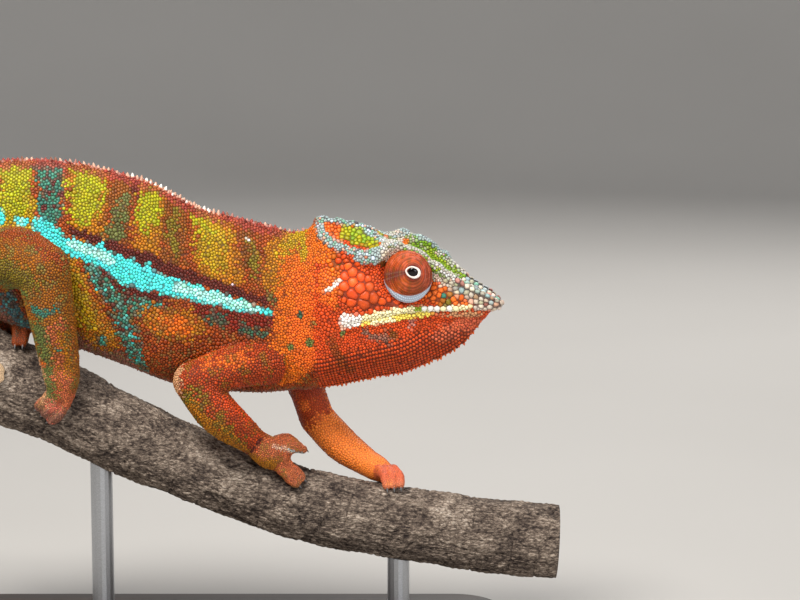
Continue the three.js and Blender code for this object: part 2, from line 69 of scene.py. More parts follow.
def along(knots):
    places, values = np.array(knots, float).T
    return lambda at: rowsAlong(places, values, np.asarray(at, float))


def smooth(t):
    t = np.clip(t, 0, 1)
    return t * t * (3 - 2 * t)


def bell(distance, width):  # 1 at distance 0, falling off as a Gaussian
    return np.exp(-((distance / width) ** 2))


def unit(v):
    return v / np.maximum(np.linalg.norm(v, axis=-1, keepdims=True), 1e-9)


# A centripetal Catmull-Rom curve as a dense line of points: the tangents at a span's ends come from the
# roots of the distances between the four stations around it.
def smoothPath(stations):
    p = np.array(stations, float)
    p = np.vstack([2 * p[0] - p[1], p, 2 * p[-1] - p[-2]])
    p0, p1, p2, p3 = p[:-3, None], p[1:-2, None], p[2:-1, None], p[3:, None]
    d0, d1, d2 = (np.sqrt(np.linalg.norm(b - a, axis=-1, keepdims=True))
                  for a, b in ((p0, p1), (p1, p2), (p2, p3)))
    m1 = ((p1 - p0) / d0 - (p2 - p0) / (d0 + d1) + (p2 - p1) / d1) * d1
    m2 = ((p2 - p1) / d1 - (p3 - p1) / (d1 + d2) + (p3 - p2) / d2) * d1
    t = np.linspace(0, 1, 24, endpoint=False)[None, :, None]
    h = 2 * t**3 - 3 * t**2
    dense = (h + 1) * p1 + (t**3 - 2 * t**2 + t) * m1 - h * p2 + (t**3 - t**2) * m2
    return np.vstack([dense.reshape(-1, 3), p[-2]])


def runLengths(line):
    return np.concatenate([[0], np.cumsum(np.linalg.norm(np.diff(line, axis=0), axis=1))])


# Points and directions at shares of a line's length; a share outside 0 to 1 carries straight on.
def pathAt(line, shares):
    run = runLengths(line)
    at = np.asarray(shares, float) * run[-1]
    inside = np.clip(at, 0, run[-1])
    ahead, behind, centre = (
        np.stack([np.interp(inside + step, run, line[:, a]) for a in range(3)], -1)
        for step in (run[-1] / 200, -run[-1] / 200, 0))
    heading = unit(ahead - behind)
    return centre + heading * (at - inside)[:, None], heading


# Meshes

def toArray(mesh, attribute, width, kind=np.float32, owner=None):
    flat = np.empty(len(owner or mesh.vertices) * width, kind)
    (owner or mesh.vertices).foreach_get(attribute, flat)
    return flat.reshape(-1, width) if width > 1 else flat


# Six times the volume inside a closed shell: a sum of corner products over the triangles of its faces.
def volumeOf(verts, faceSets):
    total = 0.0
    for faces in faceSets:
        for last in range(2, faces.shape[1]):
            a, b, c = (verts[faces[:, i]] for i in (0, last - 1, last))
            total += np.einsum("ij,ij->", a, np.cross(b, c))
    return total


# Turns the faces of a closed shell round where its volume is negative.
def outward(verts, *faceSets):
    turn = slice(None, None, -1 if volumeOf(verts, faceSets) < 0 else 1)
    return [faces[:, turn] for faces in faceSets]


def newPiece(name, verts, *faceSets):  # vertices in millimetres; faces of three or four corners
    mesh = bpy.data.meshes.new(name)
    corners = np.concatenate([f.ravel() for f in faceSets]).astype(np.int32)
    sizes = np.concatenate([np.full(len(f), f.shape[1]) for f in faceSets]).astype(np.int32)
    mesh.vertices.add(len(verts))
    mesh.vertices.foreach_set("co", (verts * mm).astype(np.float32).ravel())
    mesh.loops.add(len(corners))
    mesh.loops.foreach_set("vertex_index", corners)
    mesh.polygons.add(len(sizes))
    mesh.polygons.foreach_set("loop_start", (np.cumsum(sizes) - sizes).astype(np.int32))
    mesh.polygons.foreach_set("use_smooth", np.ones(len(sizes), bool))
    mesh.update(calc_edges=True)
    piece = bpy.data.objects.new(name, mesh)
    bpy.context.scene.collection.objects.link(piece)
    return piece


# Faces between rings of `around` vertices each, one ring after another.
def bands(rings, around):
    i = np.arange(rings * around).reshape(rings, around)
    after = np.roll(i, -1, 1)
    return np.stack([i[:-1], after[:-1], after[1:], i[1:]], -1).reshape(-1, 4)


# Triangles from a ring, whose first vertex is given, to one more vertex.
def fan(first, around, tip):
    k = np.arange(around)
    return np.stack([first + k, first + (k + 1) % around, np.full(around, tip)], -1)


# A grid of closed rings with a fan at both ends; the two end middles come last.
def closedShell(rings):
    n, m = rings.shape[:2]
    ends = np.vstack([fan(0, m, n * m)[:, [1, 0, 2]], fan(n * m - m, m, n * m + 1)])
    verts = np.vstack([rings.reshape(-1, 3), rings[0].mean(0), rings[-1].mean(0)])
    return verts, *outward(verts, bands(n, m), ends)


# A grid that closes on itself both ways.
def closedLoop(grid):
    i = np.arange(grid.shape[0] * grid.shape[1]).reshape(grid.shape[:2])
    down = np.roll(i, -1, 0)
    faces = np.stack([i, down, np.roll(down, -1, 1), np.roll(i, -1, 1)], -1).reshape(-1, 4)
    return grid.reshape(-1, 3), *outward(grid.reshape(-1, 3), faces)


# Faces of many alike shapes: rings drawn to a tip, and to a foot where it is asked for.
def manyFaces(count, rings, around, foot=False):
    size = rings * around
    fans = [fan(size - around, around, size)] + ([fan(0, around, size + 1)[:, [1, 0, 2]]] if foot else [])
    starts = (np.arange(count) * (size + len(fans)))[:, None, None]
    return (bands(rings, around) + starts).reshape(-1, 4), (np.vstack(fans) + starts).reshape(-1, 3)


def joinShells(shells):  # several (verts, quads, triangles) as one
    verts, quads, triangles, start = [], [], [], 0
    for v, q, t in shells:
        verts.append(v)
        quads.append(q + start)
        triangles.append(t + start)
        start += len(v)
    return np.vstack(verts), np.vstack(quads), np.vstack(triangles)


def paintPoints(piece, name, colours):  # a colour for each vertex, as an attribute
    layer = piece.data.color_attributes.new(name=name, type="FLOAT_COLOR", domain="POINT")
    rgba = np.ones((len(colours), 4), np.float32)
    rgba[:, :3] = colours
    layer.data.foreach_set("color", rgba.ravel())


def setUv(piece, uv):  # a UV for each vertex
    layer = piece.data.uv_layers.new(name="OFBake")
    corner = toArray(piece.data, "vertex_index", 1, np.int32, piece.data.loops)
    layer.data.foreach_set("uv", uv[corner].astype(np.float32).ravel())


# Every piece rides on the part's only body and has one finish; some take the place of solids.
def handOver(piece, slot, finish, *solids):
    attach(piece, "root")
    if solids:
        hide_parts(*solids)
    piece.data.materials.append(finish)
    return piece


# Pairs i, j of points with j nearer to i than reach[i]: points are sorted into cubes as wide as the reach,
# band by band of reaches, and each point looks into the cubes around its own.
def nearPairs(points, reach):
    edges = [0, *np.unique(np.quantile(reach, [0.5, 0.9, 1.0])) + 1e-6]
    found = []
    for low, high in zip(edges[:-1], edges[1:]):
        asking = np.flatnonzero((reach >= low) & (reach < high))
        if not len(asking):
            continue
        cell = np.floor(points / high).astype(np.int64)
        cell -= cell.min(0) - 1
        width = cell.max(0) + 2
        key = (cell[:, 0] * width[1] + cell[:, 1]) * width[2] + cell[:, 2]
        order = np.argsort(key, kind="stable")
        sortedKey = key[order]
        for dx in (-1, 0, 1):
            for dy in (-1, 0, 1):
                wanted = key[asking] + (dx * width[1] + dy) * width[2]
                start = np.searchsorted(sortedKey, wanted - 1, "left")
                count = np.searchsorted(sortedKey, wanted + 1, "right") - start
                i = np.repeat(asking, count)
                j = order[np.arange(count.sum()) + np.repeat(start - (np.cumsum(count) - count), count)]
                apart = np.linalg.norm(points[i] - points[j], axis=1)
                keep = (apart < reach[i]) & (i != j)
                found.append((i[keep], j[keep], apart[keep]))
    return tuple(np.concatenate(column) for column in zip(*found))


# Shaders

class Wire:  # a socket's value, so that sums on it add Math nodes
    def __init__(self, shader, socket):
        self.shader, self.socket = shader, socket

    def maths(self, operation, *values):
        made = self.shader.node("ShaderNodeMath", {"operation": operation}, dict(enumerate(values)))
        return Wire(self.shader, made.outputs[0])

    __add__ = __radd__ = lambda self, other: self.maths("ADD", self, other)
    __mul__ = __rmul__ = lambda self, other: self.maths("MULTIPLY", self, other)
    __sub__ = lambda self, other: self.maths("SUBTRACT", self, other)
    __rsub__ = lambda self, other: self.maths("SUBTRACT", other, self)
    atMost = lambda self, other: self.maths("MINIMUM", self, other)
    atLeast = lambda self, other: self.maths("MAXIMUM", self, other)
    sine = lambda self: self.maths("SINE", self)


class Shader:  # a material and its nodes
    def __init__(self, name, **surface):
        self.material = bpy.data.materials.new(name)
        self.material.use_nodes = True
        self.tree = self.material.node_tree
        self.surface = self.tree.nodes["Principled BSDF"]
        for socket, value in surface.items():
            self.surface.inputs[socket.replace("_", " ")].default_value = value

    def node(self, kind, settings={}, sockets={}):
        made = self.tree.nodes.new(kind)
        for setting, value in settings.items():
            if setting != "stops":
                setattr(made, setting, value)
        for number, (place, colour) in enumerate(settings.get("stops", ())):
            elements = made.color_ramp.elements
            element = elements[number] if number < len(elements) else elements.new(1.0)
            element.position, element.color = place, (*colour, 1)
        for socket, value in sockets.items():
            self.feed(made.inputs[socket], value)
        return made

    def feed(self, socket, value):
        if isinstance(value, Wire):
            self.tree.links.new(value.socket, socket)
        elif isinstance(value, bpy.types.NodeSocket):
            self.tree.links.new(value, socket)
        elif socket.type == "RGBA" and len(value) == 3:
            socket.default_value = (*value, 1)
        else:
            socket.default_value = value

    def attribute(self, name):
        return self.node("ShaderNodeAttribute", {"attribute_name": name}).outputs["Color"]

    def split(self, colour):  # a colour's three values
        made = self.node("ShaderNodeSeparateColor", {}, {"Color": colour})
        return (Wire(self, made.outputs[i]) for i in range(3))

    # A pattern on the piece's own place, stretched along its axes; size is its grain in millimetres.
    def pattern(self, kind, output, size, stretch, settings, sockets):
        place = self.node("ShaderNodeTexCoord").outputs["Object"]
        at = self.node("ShaderNodeMapping", {}, {"Vector": place, "Scale": stretch}).outputs[0]
        made = self.node(kind, settings, {"Vector": at, "Scale": 1 / (size * mm), **sockets})
        return Wire(self, made.outputs[output])

    def noise(self, size, detail=3.0, stretch=(1, 1, 1), rough=0.5):  # from 0 to 1 and about a half
        sockets = {"Detail": detail, "Roughness": rough}
        return self.pattern("ShaderNodeTexNoise", "Fac", size, stretch, {}, sockets)

    def cells(self, size, feature="F1", stretch=(1, 1, 1)):
        return self.pattern("ShaderNodeTexVoronoi", "Distance", size, stretch, {"feature": feature}, {})

    def mix(self, share, first, second):
        return self.node("ShaderNodeMix", {"data_type": "RGBA"}, {0: share, 6: first, 7: second}).outputs[2]

    def scaled(self, colour, factor):  # a colour times a number
        made = self.node("ShaderNodeVectorMath", {"operation": "SCALE"}, {0: colour, "Scale": factor})
        return made.outputs[0]

    def ramp(self, share, stops):
        return self.node("ShaderNodeValToRGB", {"stops": stops}, {0: share}).outputs[0]

    def paint(self, colour, roughness=None, bump=None, depth=0.1):  # the depth of the bump in millimetres
        self.feed(self.surface.inputs["Base Color"], colour)
        if roughness is not None:
            self.feed(self.surface.inputs["Roughness"], roughness)
        if bump is not None:
            made = self.node("ShaderNodeBump", {}, {"Height": bump, "Distance": depth * mm, "Strength": 1.0})
            self.feed(self.surface.inputs["Normal"], made.outputs[0])
        return self.material


def srgb(red, green, blue):  # a colour as seen, 0 to 255, in linear light
    c = np.array([red, green, blue]) / 255
    return np.where(c <= 0.04045, c / 12.92, ((c + 0.055) / 1.055) ** 2.4)


print("tools ready")


# The body's own lines, straight, before the neck and head are turned
body = {
    "coatDepth": 0.45,  # how far the skin lies inside the solids, for the scales
    "skinMesh": 0.82,  # the skin's own mesh size
    "vent": -99,
    "headStart": 34,
    "snoutTip": 103.4,
    "jawTip": 98.3,
    "turn": {"yaw": -8, "roll": 4, "fromX": 20, "toX": 42, "pivotZ": 134},  # of the head, in degrees
    "mouthStep": 8,  # the lips, in steps from the crown (0) to the throat (12)
}

backLine = along([
    (-99, 179.4), (-88, 184.2), (-76, 186.6), (-62, 187), (-48, 185.6), (-36, 182.8),
    (-23, 179.2), (-14, 174.4), (-4, 169.4), (6, 166.6), (18, 163.6), (29, 161), (34, 162.6),
])
bellyLine = along([
    (-99, 141.4), (-88, 132.6), (-77, 128.2), (-66, 124), (-50, 118.4), (-32, 111.8),
    (-16, 105.6), (-2, 103.2), (14, 102), (28, 102.6), (36, 102.6),
])
trunkWidth = along([
    (-99, 8.6), (-88, 10.4), (-76, 12.4), (-60, 14.4), (-40, 15.8), (-20, 15.6), (0, 14.6),
    (16, 13.4), (30, 12.6), (36, 12.6),
])
headLines = {  # step: half width, height
    0: (along([(34, 0), (104, 0)]),
        along([(34, 160.8), (35.6, 166.2), (38.5, 167.5), (46.5, 166), (54.4, 164), (60, 161.4),
               (66, 158.2), (72, 155), (78, 151.6), (84, 147.6), (90, 143.8), (96, 140.6), (100, 138.6),
               (103.4, 136.6)])),
    2: (along([(34, 3.4), (38, 4), (44, 6.6), (52, 9), (60, 10.6), (68, 11), (76, 10), (84, 8),
               (90, 6.8), (96, 5.6), (101, 4), (103.4, 2.4)]),
        along([(34, 158.6), (38, 160.6), (42, 158.2), (48, 156.2), (54, 155.8), (60, 157), (66, 158.8),
               (72, 157.4), (78, 153.8), (84, 149.2), (90, 145.4), (96, 142.2), (100, 140),
               (103.4, 137.2)])),
    4: (along([(34, 8.4), (42, 9.2), (50, 10.4), (60, 10.2), (70, 9.6), (80, 8.6), (88, 7.2),
               (96, 4.8), (101, 3.6), (103.4, 2.2)]),
        along([(34, 150), (42, 150.4), (50, 149.4), (60, 149.6), (70, 149.8), (80, 146), (88, 142.2),
               (96, 139), (103.4, 136.4)])),
    6: (along([(34, 12.4), (44, 13.6), (54, 13.8), (64, 12.4), (74, 11.2), (84, 9.2), (92, 6),
               (98, 3.8), (103.4, 2.2)]),
        along([(34, 138), (46, 141), (60, 140.6), (74, 140.4), (86, 139), (94, 137), (103.4, 135.6)])),
    8: (along([(34, 13), (46, 13.8), (58, 13), (68, 11.8), (78, 9.8), (86, 7.6), (92, 5.2),
               (96, 3.6), (99, 2.6), (103.4, 1.6)]),
        along([(34, 124), (46, 130.6), (56, 133.2), (66, 134.4), (78, 134.4), (90, 133.8), (99, 133.4),
               (103.4, 134.8)])),
    10: (along([(34, 11), (46, 11.6), (58, 11), (70, 9.4), (80, 6.8), (88, 4.6), (94, 3), (98.3, 1.8)]),
         along([(34, 110), (46, 115), (58, 117.6), (70, 119.4), (80, 122.6), (88, 126.2), (94, 129.4),
                (98.3, 131.6)])),
    12: (along([(34, 0), (104, 0)]),
         along([(34, 102.6), (42, 103.4), (50, 105.2), (58, 107.2), (68, 109.2), (76, 112.4), (84, 116.2),
                (90, 120.2), (93, 124), (96, 128.6), (98.3, 131.4)])),
}


# The half width of a keeled oval at shares of the way down its side.
def keeled(share):
    return np.maximum(np.sin(pi * share**1.15), 0) ** 1.1


# Half width and height of the body at places x and steps down its side, grown by `grow`. The trunk's
# height goes as the cosine of the way down. Behind the casque it eases into the head's lines.
def bodySide(x, step, grow=0.0):
    k = step / 12
    halfHeight = (backLine(x) - bellyLine(x)) / 2 + grow
    middle = (backLine(x) + bellyLine(x)) / 2
    across = (trunkWidth(x) + grow)[:, None] * keeled(k)
    up = middle[:, None] + halfHeight[:, None] * np.cos(pi * k)
    headAcross, headUp = (
        rowsAlong(list(headLines), np.stack([line[a](x) for line in headLines.values()], -1), step)
        for a in (0, 1))
    share = smooth((x - body["headStart"]) / 3)[:, None]
    headAcross = headAcross + grow * (step % 12 > 0)
    headUp = headUp + grow * np.cos(pi * k)
    return across + (headAcross - across) * share, up + (headUp - up) * share


# Closed rings of the straight body, between two steps on the right side and back on the left.
def bodyRings(x, firstStep, lastStep):
    step = np.linspace(firstStep, lastStep, (lastStep - firstStep) * 6 + 1)
    across, up = bodySide(x, step, -body["coatDepth"])
    forwards = np.broadcast_to(x[:, None], across.shape)
    right = np.stack([forwards, -across, up], -1)
    left = np.stack([forwards, across, up], -1)[:, ::-1]
    left = left[:, (1 if lastStep == 12 else 0):(-1 if firstStep == 0 else None)]
    return np.concatenate([right, left], 1)


# How much of the head's turn a place has, and the turn itself: Rz(yaw * share) after Rx(roll * share)
# about the pivot.
def turnMatrices(x):
    turn = body["turn"]
    share = smooth((x - turn["fromX"]) / (turn["toX"] - turn["fromX"]))
    yaw, roll = radians(turn["yaw"]) * share, radians(turn["roll"]) * share
    zero = np.zeros_like(share)
    return np.stack([
        np.stack([np.cos(yaw), -np.sin(yaw) * np.cos(roll), np.sin(yaw) * np.sin(roll)], -1),
        np.stack([np.sin(yaw), np.cos(yaw) * np.cos(roll), -np.cos(yaw) * np.sin(roll)], -1),
        np.stack([zero, np.sin(roll), np.cos(roll)], -1),
    ], -2)


turnPivot = np.array([(body["turn"]["fromX"] + body["turn"]["toX"]) / 2, 0, body["turn"]["pivotZ"]])


def turned(p):
    return np.einsum("...ij,...j->...i", turnMatrices(p[..., 0]), p - turnPivot) + turnPivot


def straightened(q):  # undoes the turn, by repeating it with the share of the place found so far
    p = q
    for _ in range(8):
        p = np.einsum("...ji,...j->...i", turnMatrices(p[..., 0]), q - turnPivot) + turnPivot
    return p


# Parts of the skin: each is rings round a path, with the frame that its coordinates are read in
parts = []
shells = []


def addPart(kind, leg, rings, centre, heading, out, across, shares):
    parts.append({
        "kind": kind, "leg": leg, "rings": rings, "centre": centre, "heading": heading, "out": out,
        "across": across, "shares": shares, "length": runLengths(centre)[-1],
    })
    shells.append(closedShell(rings))


# Rings square to a path: centre + out * rise + across * side, for each point of a ring.
def ringsOn(centre, out, across, rise, side):
    return centre[:, None] + out[:, None] * rise[..., None] + across[:, None] * side[..., None]


def addBody(fromX, toX, spacing, firstStep, lastStep):
    x = np.linspace(fromX, toX, int((toX - fromX) / spacing) + 1)
    rings = bodyRings(x, firstStep, lastStep)
    middle = np.stack([x, 0 * x, (backLine(x) + bellyLine(x)) / 2], -1)
    frames = [np.broadcast_to(v, middle.shape) for v in ([1.0, 0, 0], [0, 0, 1.0], [0, -1.0, 0])]
    shares = (x - body["vent"]) / (body["snoutTip"] - body["vent"])
    addPart("body", -1, turned(rings), middle, *frames, shares)


addBody(body["vent"], 37, 1.2, 0, 12)
addBody(36, body["snoutTip"] - 0.3, 0.8, 0, body["mouthStep"])
addBody(36, body["jawTip"] - 0.3, 0.8, body["mouthStep"], 12)

# The tail: a straight run behind the vent, then a spiral that curls under and drifts to the left.
tail = {
    "start": [(-99, 0, 160.2), (-109, 0.3, 159.8), (-121, 2, 160.2), (-136, 6, 159.2)],
    "centre": (-144, 9, 130.4),
    "startAngle": 105,
    "sweep": 590,
    "radii": (26, 6.6),
    "halfHeight": along([(0, 18.8), (0.05, 13.4), (0.11, 9.8), (0.18, 7.6), (0.26, 6), (0.45, 4.7),
                         (0.7, 3.2), (1, 1.3)]),
    "flatness": along([(0, 0.46), (0.05, 0.58), (0.11, 0.72), (0.2, 0.82), (1, 0.86)]),
}


def tailPath():
    share = np.linspace(0, 1, 35)
    angle = np.radians(tail["startAngle"] + tail["sweep"] * share)
    radius = tail["radii"][0] + (tail["radii"][1] - tail["radii"][0]) * share
    x, y, z = tail["centre"]
    coil = np.stack([x + radius * np.cos(angle), y + 0 * angle, z + radius * np.sin(angle)], -1)
    return smoothPath([*tail["start"], *coil])


# Places along the tail, the way it runs there, and the way out of its coil.
def onTailPath(shares):
    centre, heading = pathAt(tailPath(), shares)
    return centre, heading, unit(np.stack([heading[:, 2], 0 * shares, -heading[:, 0]], -1))


def addTail():
    shares = np.linspace(-0.03, 1, 320)
    centre, heading, out = onTailPath(shares)
    across = np.broadcast_to([0.0, -1.0, 0.0], out.shape)
    halfHeight = tail["halfHeight"](shares) - body["coatDepth"] * smooth((1.4 - shares) / 0.8)
    halfWidth = halfHeight * tail["flatness"](shares)
    k = np.linspace(0, 1, 19)
    k, side = np.append(k, k[-2:0:-1]), np.append(keeled(k), -keeled(k)[-2:0:-1])
    rings = ringsOn(centre, out, across, halfHeight[:, None] * np.cos(pi * k), halfWidth[:, None] * side)
    addPart("tail", -1, rings, centre, heading, out, across, shares)


addTail()

# The perch's line, which feet and claws follow
perch = {
    "ends": (-113, 124),
    "height": along([
        (-114, 125.4), (-96, 116.8), (-78, 107.4), (-60, 99.8), (-42, 90.8), (-24, 82), (-6, 74.2),
        (12, 67), (30, 61), (48, 57), (66, 53.9), (85, 50.9), (103, 48.3), (121, 46.8), (140, 46),
    ]),
    "radius": along([(-114, 15.4), (-80, 16), (-60, 15.2), (-30, 14.2), (0, 13.2), (30, 13.6), (66, 13.4),
                     (124, 13.8)]),
    "stub": {"x": -80, "angle": 76, "radius": 4.6, "lifts": (-5, 2.8)},
    "grain": 0.47,  # mesh size along the bark
    "around": 190,
}


# A place beside the perch: x along it, the angle from its top towards the animal's right, the lift off it.
def onPerch(x, angle, lift):
    x, angle, lift = (np.asarray(v, float) for v in (x, angle, lift))
    slope = (perch["height"](x + 1) - perch["height"](x - 1)) / 2
    up = unit(np.stack([-slope, 0 * slope, 1 + 0 * slope], -1))
    reach = perch["radius"](x) + lift
    centre = np.stack([x, 0 * x, perch["height"](x)], -1)
    side = np.stack([0 * x, -reach * np.sin(np.radians(angle)), 0 * x], -1)
    return centre + up * (reach * np.cos(np.radians(angle)))[..., None] + side


# Each leg: five places from root to wrist or ankle with their radii, the palm (x, angle round the perch,
# lift, radius), the width of a toe, and two bundles of fused toes with stations like the palm's.
legs = {
    "front_right": {
        "path": [(21, -5, 115), (7, -15, 114), (-6.4, -20.6, 110), (1.6, -19, 98.6), (14.4, -12.6, 86.4)],
        "radii": (9, 8, 7.5, 7.6, 5.2),
        "palm": (16.4, 34, 5.8, 6),
        "toeWidth": 3.6,
        "outer": (2, [(20, 39, 4.8), (24.4, 45, 3.6), (28.4, 50, 2.4)]),
        "inner": (3, [(18, 19, 9), (21.6, 14, 8.8), (25, 10, 7.6)]),
    },
    "front_left": {
        "path": [(29, 6, 112), (32.6, 14.6, 99.6), (36, 18.6, 88.6), (45.4, 15, 79.4), (54.6, 9, 74)],
        "radii": (8, 6.8, 6.8, 6.8, 5.4),
        "palm": (57.6, -14, 3.8, 5),
        "toeWidth": 2.9,
        "outer": (2, [(58.8, -34, 3.8), (60.2, -60, 3.2), (61, -82, 2)]),
        "inner": (3, [(59, 0, 4.8), (61, 14, 4.2), (62.2, 28, 2.2)]),
    },
    "hind_right": {
        "path": [(-80, -4, 151), (-68, -16, 153.4), (-58.6, -23.6, 150.6), (-56, -22, 134),
                 (-54, -17, 115.5)],
        "radii": (11, 11.2, 9.8, 8.4, 7.2),
        "palm": (-57.2, 62, 5.2, 6.4),
        "toeWidth": 3.6,
        "outer": (3, [(-57.2, 74, 4.4), (-57.8, 86, 3.6), (-59.6, 99, 2.2)]),
        "inner": (2, [(-59.6, 24, 4.2), (-62, -30, 3.4), (-62.6, -72, 2)]),
    },
    "hind_left": {
        "path": [(-82, 4, 149), (-89, 15, 148), (-94, 22, 141), (-90, 20, 133.4), (-85, 13, 127.6)],
        "radii": (10.6, 10.2, 8.8, 7.6, 6.2),
        "palm": (-83, -30, 4.4, 5.8),
        "toeWidth": 3.2,
        "outer": (3, [(-82, -50, 4.2), (-80.4, -76, 3.6), (-79, -100, 2)]),
        "inner": (2, [(-80, -6, 4.2), (-77.4, 14, 3.4), (-76, 30, 2)]),
    },
}
toe = {
    "thickness": along([(0, 3), (0.4, 2.6), (0.85, 2.2), (1, 1.7)]),
    "spread": along([(0, 0.9), (0.5, 1), (0.85, 1.02), (1, 0.86)]),
    "pads": 0.12,  # how much fuller a toe is between its creases
    "creases": 3,
}


# Round rings square to a path. Shares past an end close it as a dome.
def limbRings(line, radiusAt, shares):
    centre, heading = pathAt(line, shares)
    out = unit(np.cross(np.array([0.25, 1, 0.1]), heading))
    across = np.cross(heading, out)
    radius = radiusAt(np.clip(shares, 0, 1)) - body["coatDepth"]
    past = np.maximum(shares - 1, 0) * runLengths(line)[-1] / radius
    radius = (radius * np.sqrt(np.maximum(1 - past**2, 0.02)))[:, None]
    angle = np.linspace(0, 2 * pi, 28, endpoint=False)
    rings = ringsOn(centre, out, across, radius * np.cos(angle), radius * np.sin(angle))
    return rings, centre, heading, out, across


# The upper or lower length of a leg, from one of its five places over the next two.
def addLimb(leg, name, number, start, roundEnd):
    line = smoothPath(leg["path"][start:start + 3])
    radii = leg["radii"][start:start + 3]
    shares = np.linspace(0, 1, 30)
    if roundEnd:
        reach = (radii[-1] - body["coatDepth"]) * 0.97 / runLengths(line)[-1]
        shares = np.concatenate([shares, 1 + reach * np.sin(np.linspace(0.1, 1.5, 8))])
    rings, *frames = limbRings(line, along(list(zip((0, 0.5, 1), radii))), shares)
    addPart(name, number, rings, *frames, shares)


def addPalm(leg, number):
    x, angle, lift, radius = leg["palm"]
    middle, wrist = onPerch(x, angle, lift), np.array(leg["path"][4], float)
    line = smoothPath([wrist, middle, middle + 0.3 * (middle - wrist)])
    width = along([(0, leg["radii"][4]), (0.6, radius), (1, radius * 0.7)])
    shares = np.linspace(0, 1.12, 16)
    rings, *frames = limbRings(line, width, shares)
    addPart("palm", number, rings, *frames, shares)


def bundleLine(leg, stations):
    return smoothPath([onPerch(*leg["palm"][:3]), *[onPerch(*s) for s in stations]])


# The frame of a bundle of toes: across the bundle, and out from the bark.
def bundleFrame(leg, stations, shares):
    centre, heading = pathAt(bundleLine(leg, stations), shares)
    fromPerch = unit(np.stack([0 * shares, centre[:, 1], centre[:, 2] - perch["height"](centre[:, 0])], -1))
    across = unit(np.cross(heading, fromPerch))
    return centre, heading, np.cross(across, heading), across


# A single toe: an oval tube beside its neighbours, fuller between its creases and domed at the tip.
def addToe(leg, legNumber, bundle, number):
    count, stations = leg[bundle]
    shares = np.concatenate([np.linspace(0, 0.9, 22), 0.9 + 0.12 * np.sin(np.linspace(0.15, 1.5, 8))])
    centre, heading, out, across = bundleFrame(leg, stations, shares)
    inside = np.clip(shares, 0, 1)
    halfWidth = leg["toeWidth"] * toe["spread"](inside) / 2
    centre = centre + across * (halfWidth * (2 * number + 1 - count))[:, None]
    tip = np.sqrt(np.maximum(1 - (np.maximum(shares - 0.9, 0) / 0.122) ** 2, 0.03))
    creases = 1 + toe["pads"] * (np.cos(2 * pi * toe["creases"] * inside) - 1) / 2
    wide = (halfWidth * 1.04 - 0.1) * tip * creases
    thick = (toe["thickness"](inside) - 0.35) * tip * creases
    angle = np.linspace(0, 2 * pi, 18, endpoint=False)
    rings = ringsOn(centre, across, out, wide[:, None] * np.cos(angle), thick[:, None] * np.sin(angle))
    addPart("toe", legNumber, rings, centre, heading, out, across, shares)


for legNumber, leg in enumerate(legs.values()):
    addLimb(leg, "upper", legNumber, 0, True)
    addLimb(leg, "lower", legNumber, 2, False)
    addPalm(leg, legNumber)
    for bundle in ("outer", "inner"):
        for number in range(leg[bundle][0]):
            addToe(leg, legNumber, bundle, number)
print("parts of the skin:", len(parts))


# One skin over all the parts

# The parts' shells wrapped by a voxel remesh, as vertices in millimetres and faces of four corners.
def wrappedSkin():
    wrapped = newPiece("skin_parts", *joinShells(shells))
    wrap = wrapped.modifiers.new("wrap", "REMESH")
    wrap.mode, wrap.voxel_size = "VOXEL", body["skinMesh"] * mm
    depsgraph = bpy.context.evaluated_depsgraph_get()
    mesh = bpy.data.meshes.new_from_object(wrapped.evaluated_get(depsgraph))
    verts = toArray(mesh, "co", 3).astype(float) / mm
    faces = toArray(mesh, "vertex_index", 1, np.int32, mesh.loops).reshape(-1, 4)
    bpy.data.objects.remove(wrapped)
    return verts, faces


def edgesOf(faces):
    pairs = np.sort(np.concatenate([faces[:, [i, (i + 1) % 4]] for i in range(4)]), 1)
    return np.unique(pairs, axis=0)


def gathered(values, index, count):  # the sum of values by index
    return np.stack([np.bincount(index, values[:, a], count) for a in range(values.shape[1])], -1)


# Moves each vertex towards the middle of its neighbours by a share that may differ from place to place,
# and part of the way back out, so that the form doesn't shrink.
def relaxed(verts, edges, share, rounds):
    ends = np.concatenate([edges[:, 0], edges[:, 1]])
    others = np.concatenate([edges[:, 1], edges[:, 0]])
    count = np.bincount(ends, minlength=len(verts))[:, None]
    for _ in range(rounds):
        for factor in (share, -1.03 * share):
            middle = gathered(verts[others], ends, len(verts)) / count
            verts = verts + (middle - verts) * np.reshape(factor, (-1, 1))
    return verts


def normalsOf(verts, faces):
    a, b, c, d = (verts[faces[:, i]] for i in range(4))
    face = np.cross(c - a, d - b)
    return unit(gathered(np.repeat(face, 4, 0), faces.ravel(), len(verts)))


# For each place the part it belongs to, by the nearest ring vertex, and its coordinates there: the share
# along the part's path and the angle round it from its top, 0 to 1.
ringCounts = [part["rings"].shape[:2] for part in parts]
partOf = np.concatenate([np.full(rings * around, i) for i, (rings, around) in enumerate(ringCounts)])
ringOf = np.concatenate([np.repeat(np.arange(rings), around) for rings, around in ringCounts])
partTree = KDTree(len(partOf))
for i, point in enumerate(np.vstack([part["rings"].reshape(-1, 3) for part in parts])):
    partTree.insert(point, i)
partTree.balance()


def coordinates(places, straight):
    nearest = np.array([partTree.find(p)[1] for p in places])
    part, ring = partOf[nearest], ringOf[nearest]
    shares, angles = np.zeros(len(places)), np.zeros(len(places))
    for number, described in enumerate(parts):
        here = part == number
        r = ring[here]
        own = straight[here] if described["kind"] == "body" else places[here]
        away = own - described["centre"][r]
        forwards, sideways, up = (
            (away * described[name][r]).sum(1) for name in ("heading", "across", "out"))
        shares[here] = described["shares"][r] + forwards / described["length"]
        angles[here] = np.arctan2(sideways, up)
    return part, shares, (angles / (2 * pi)) % 1


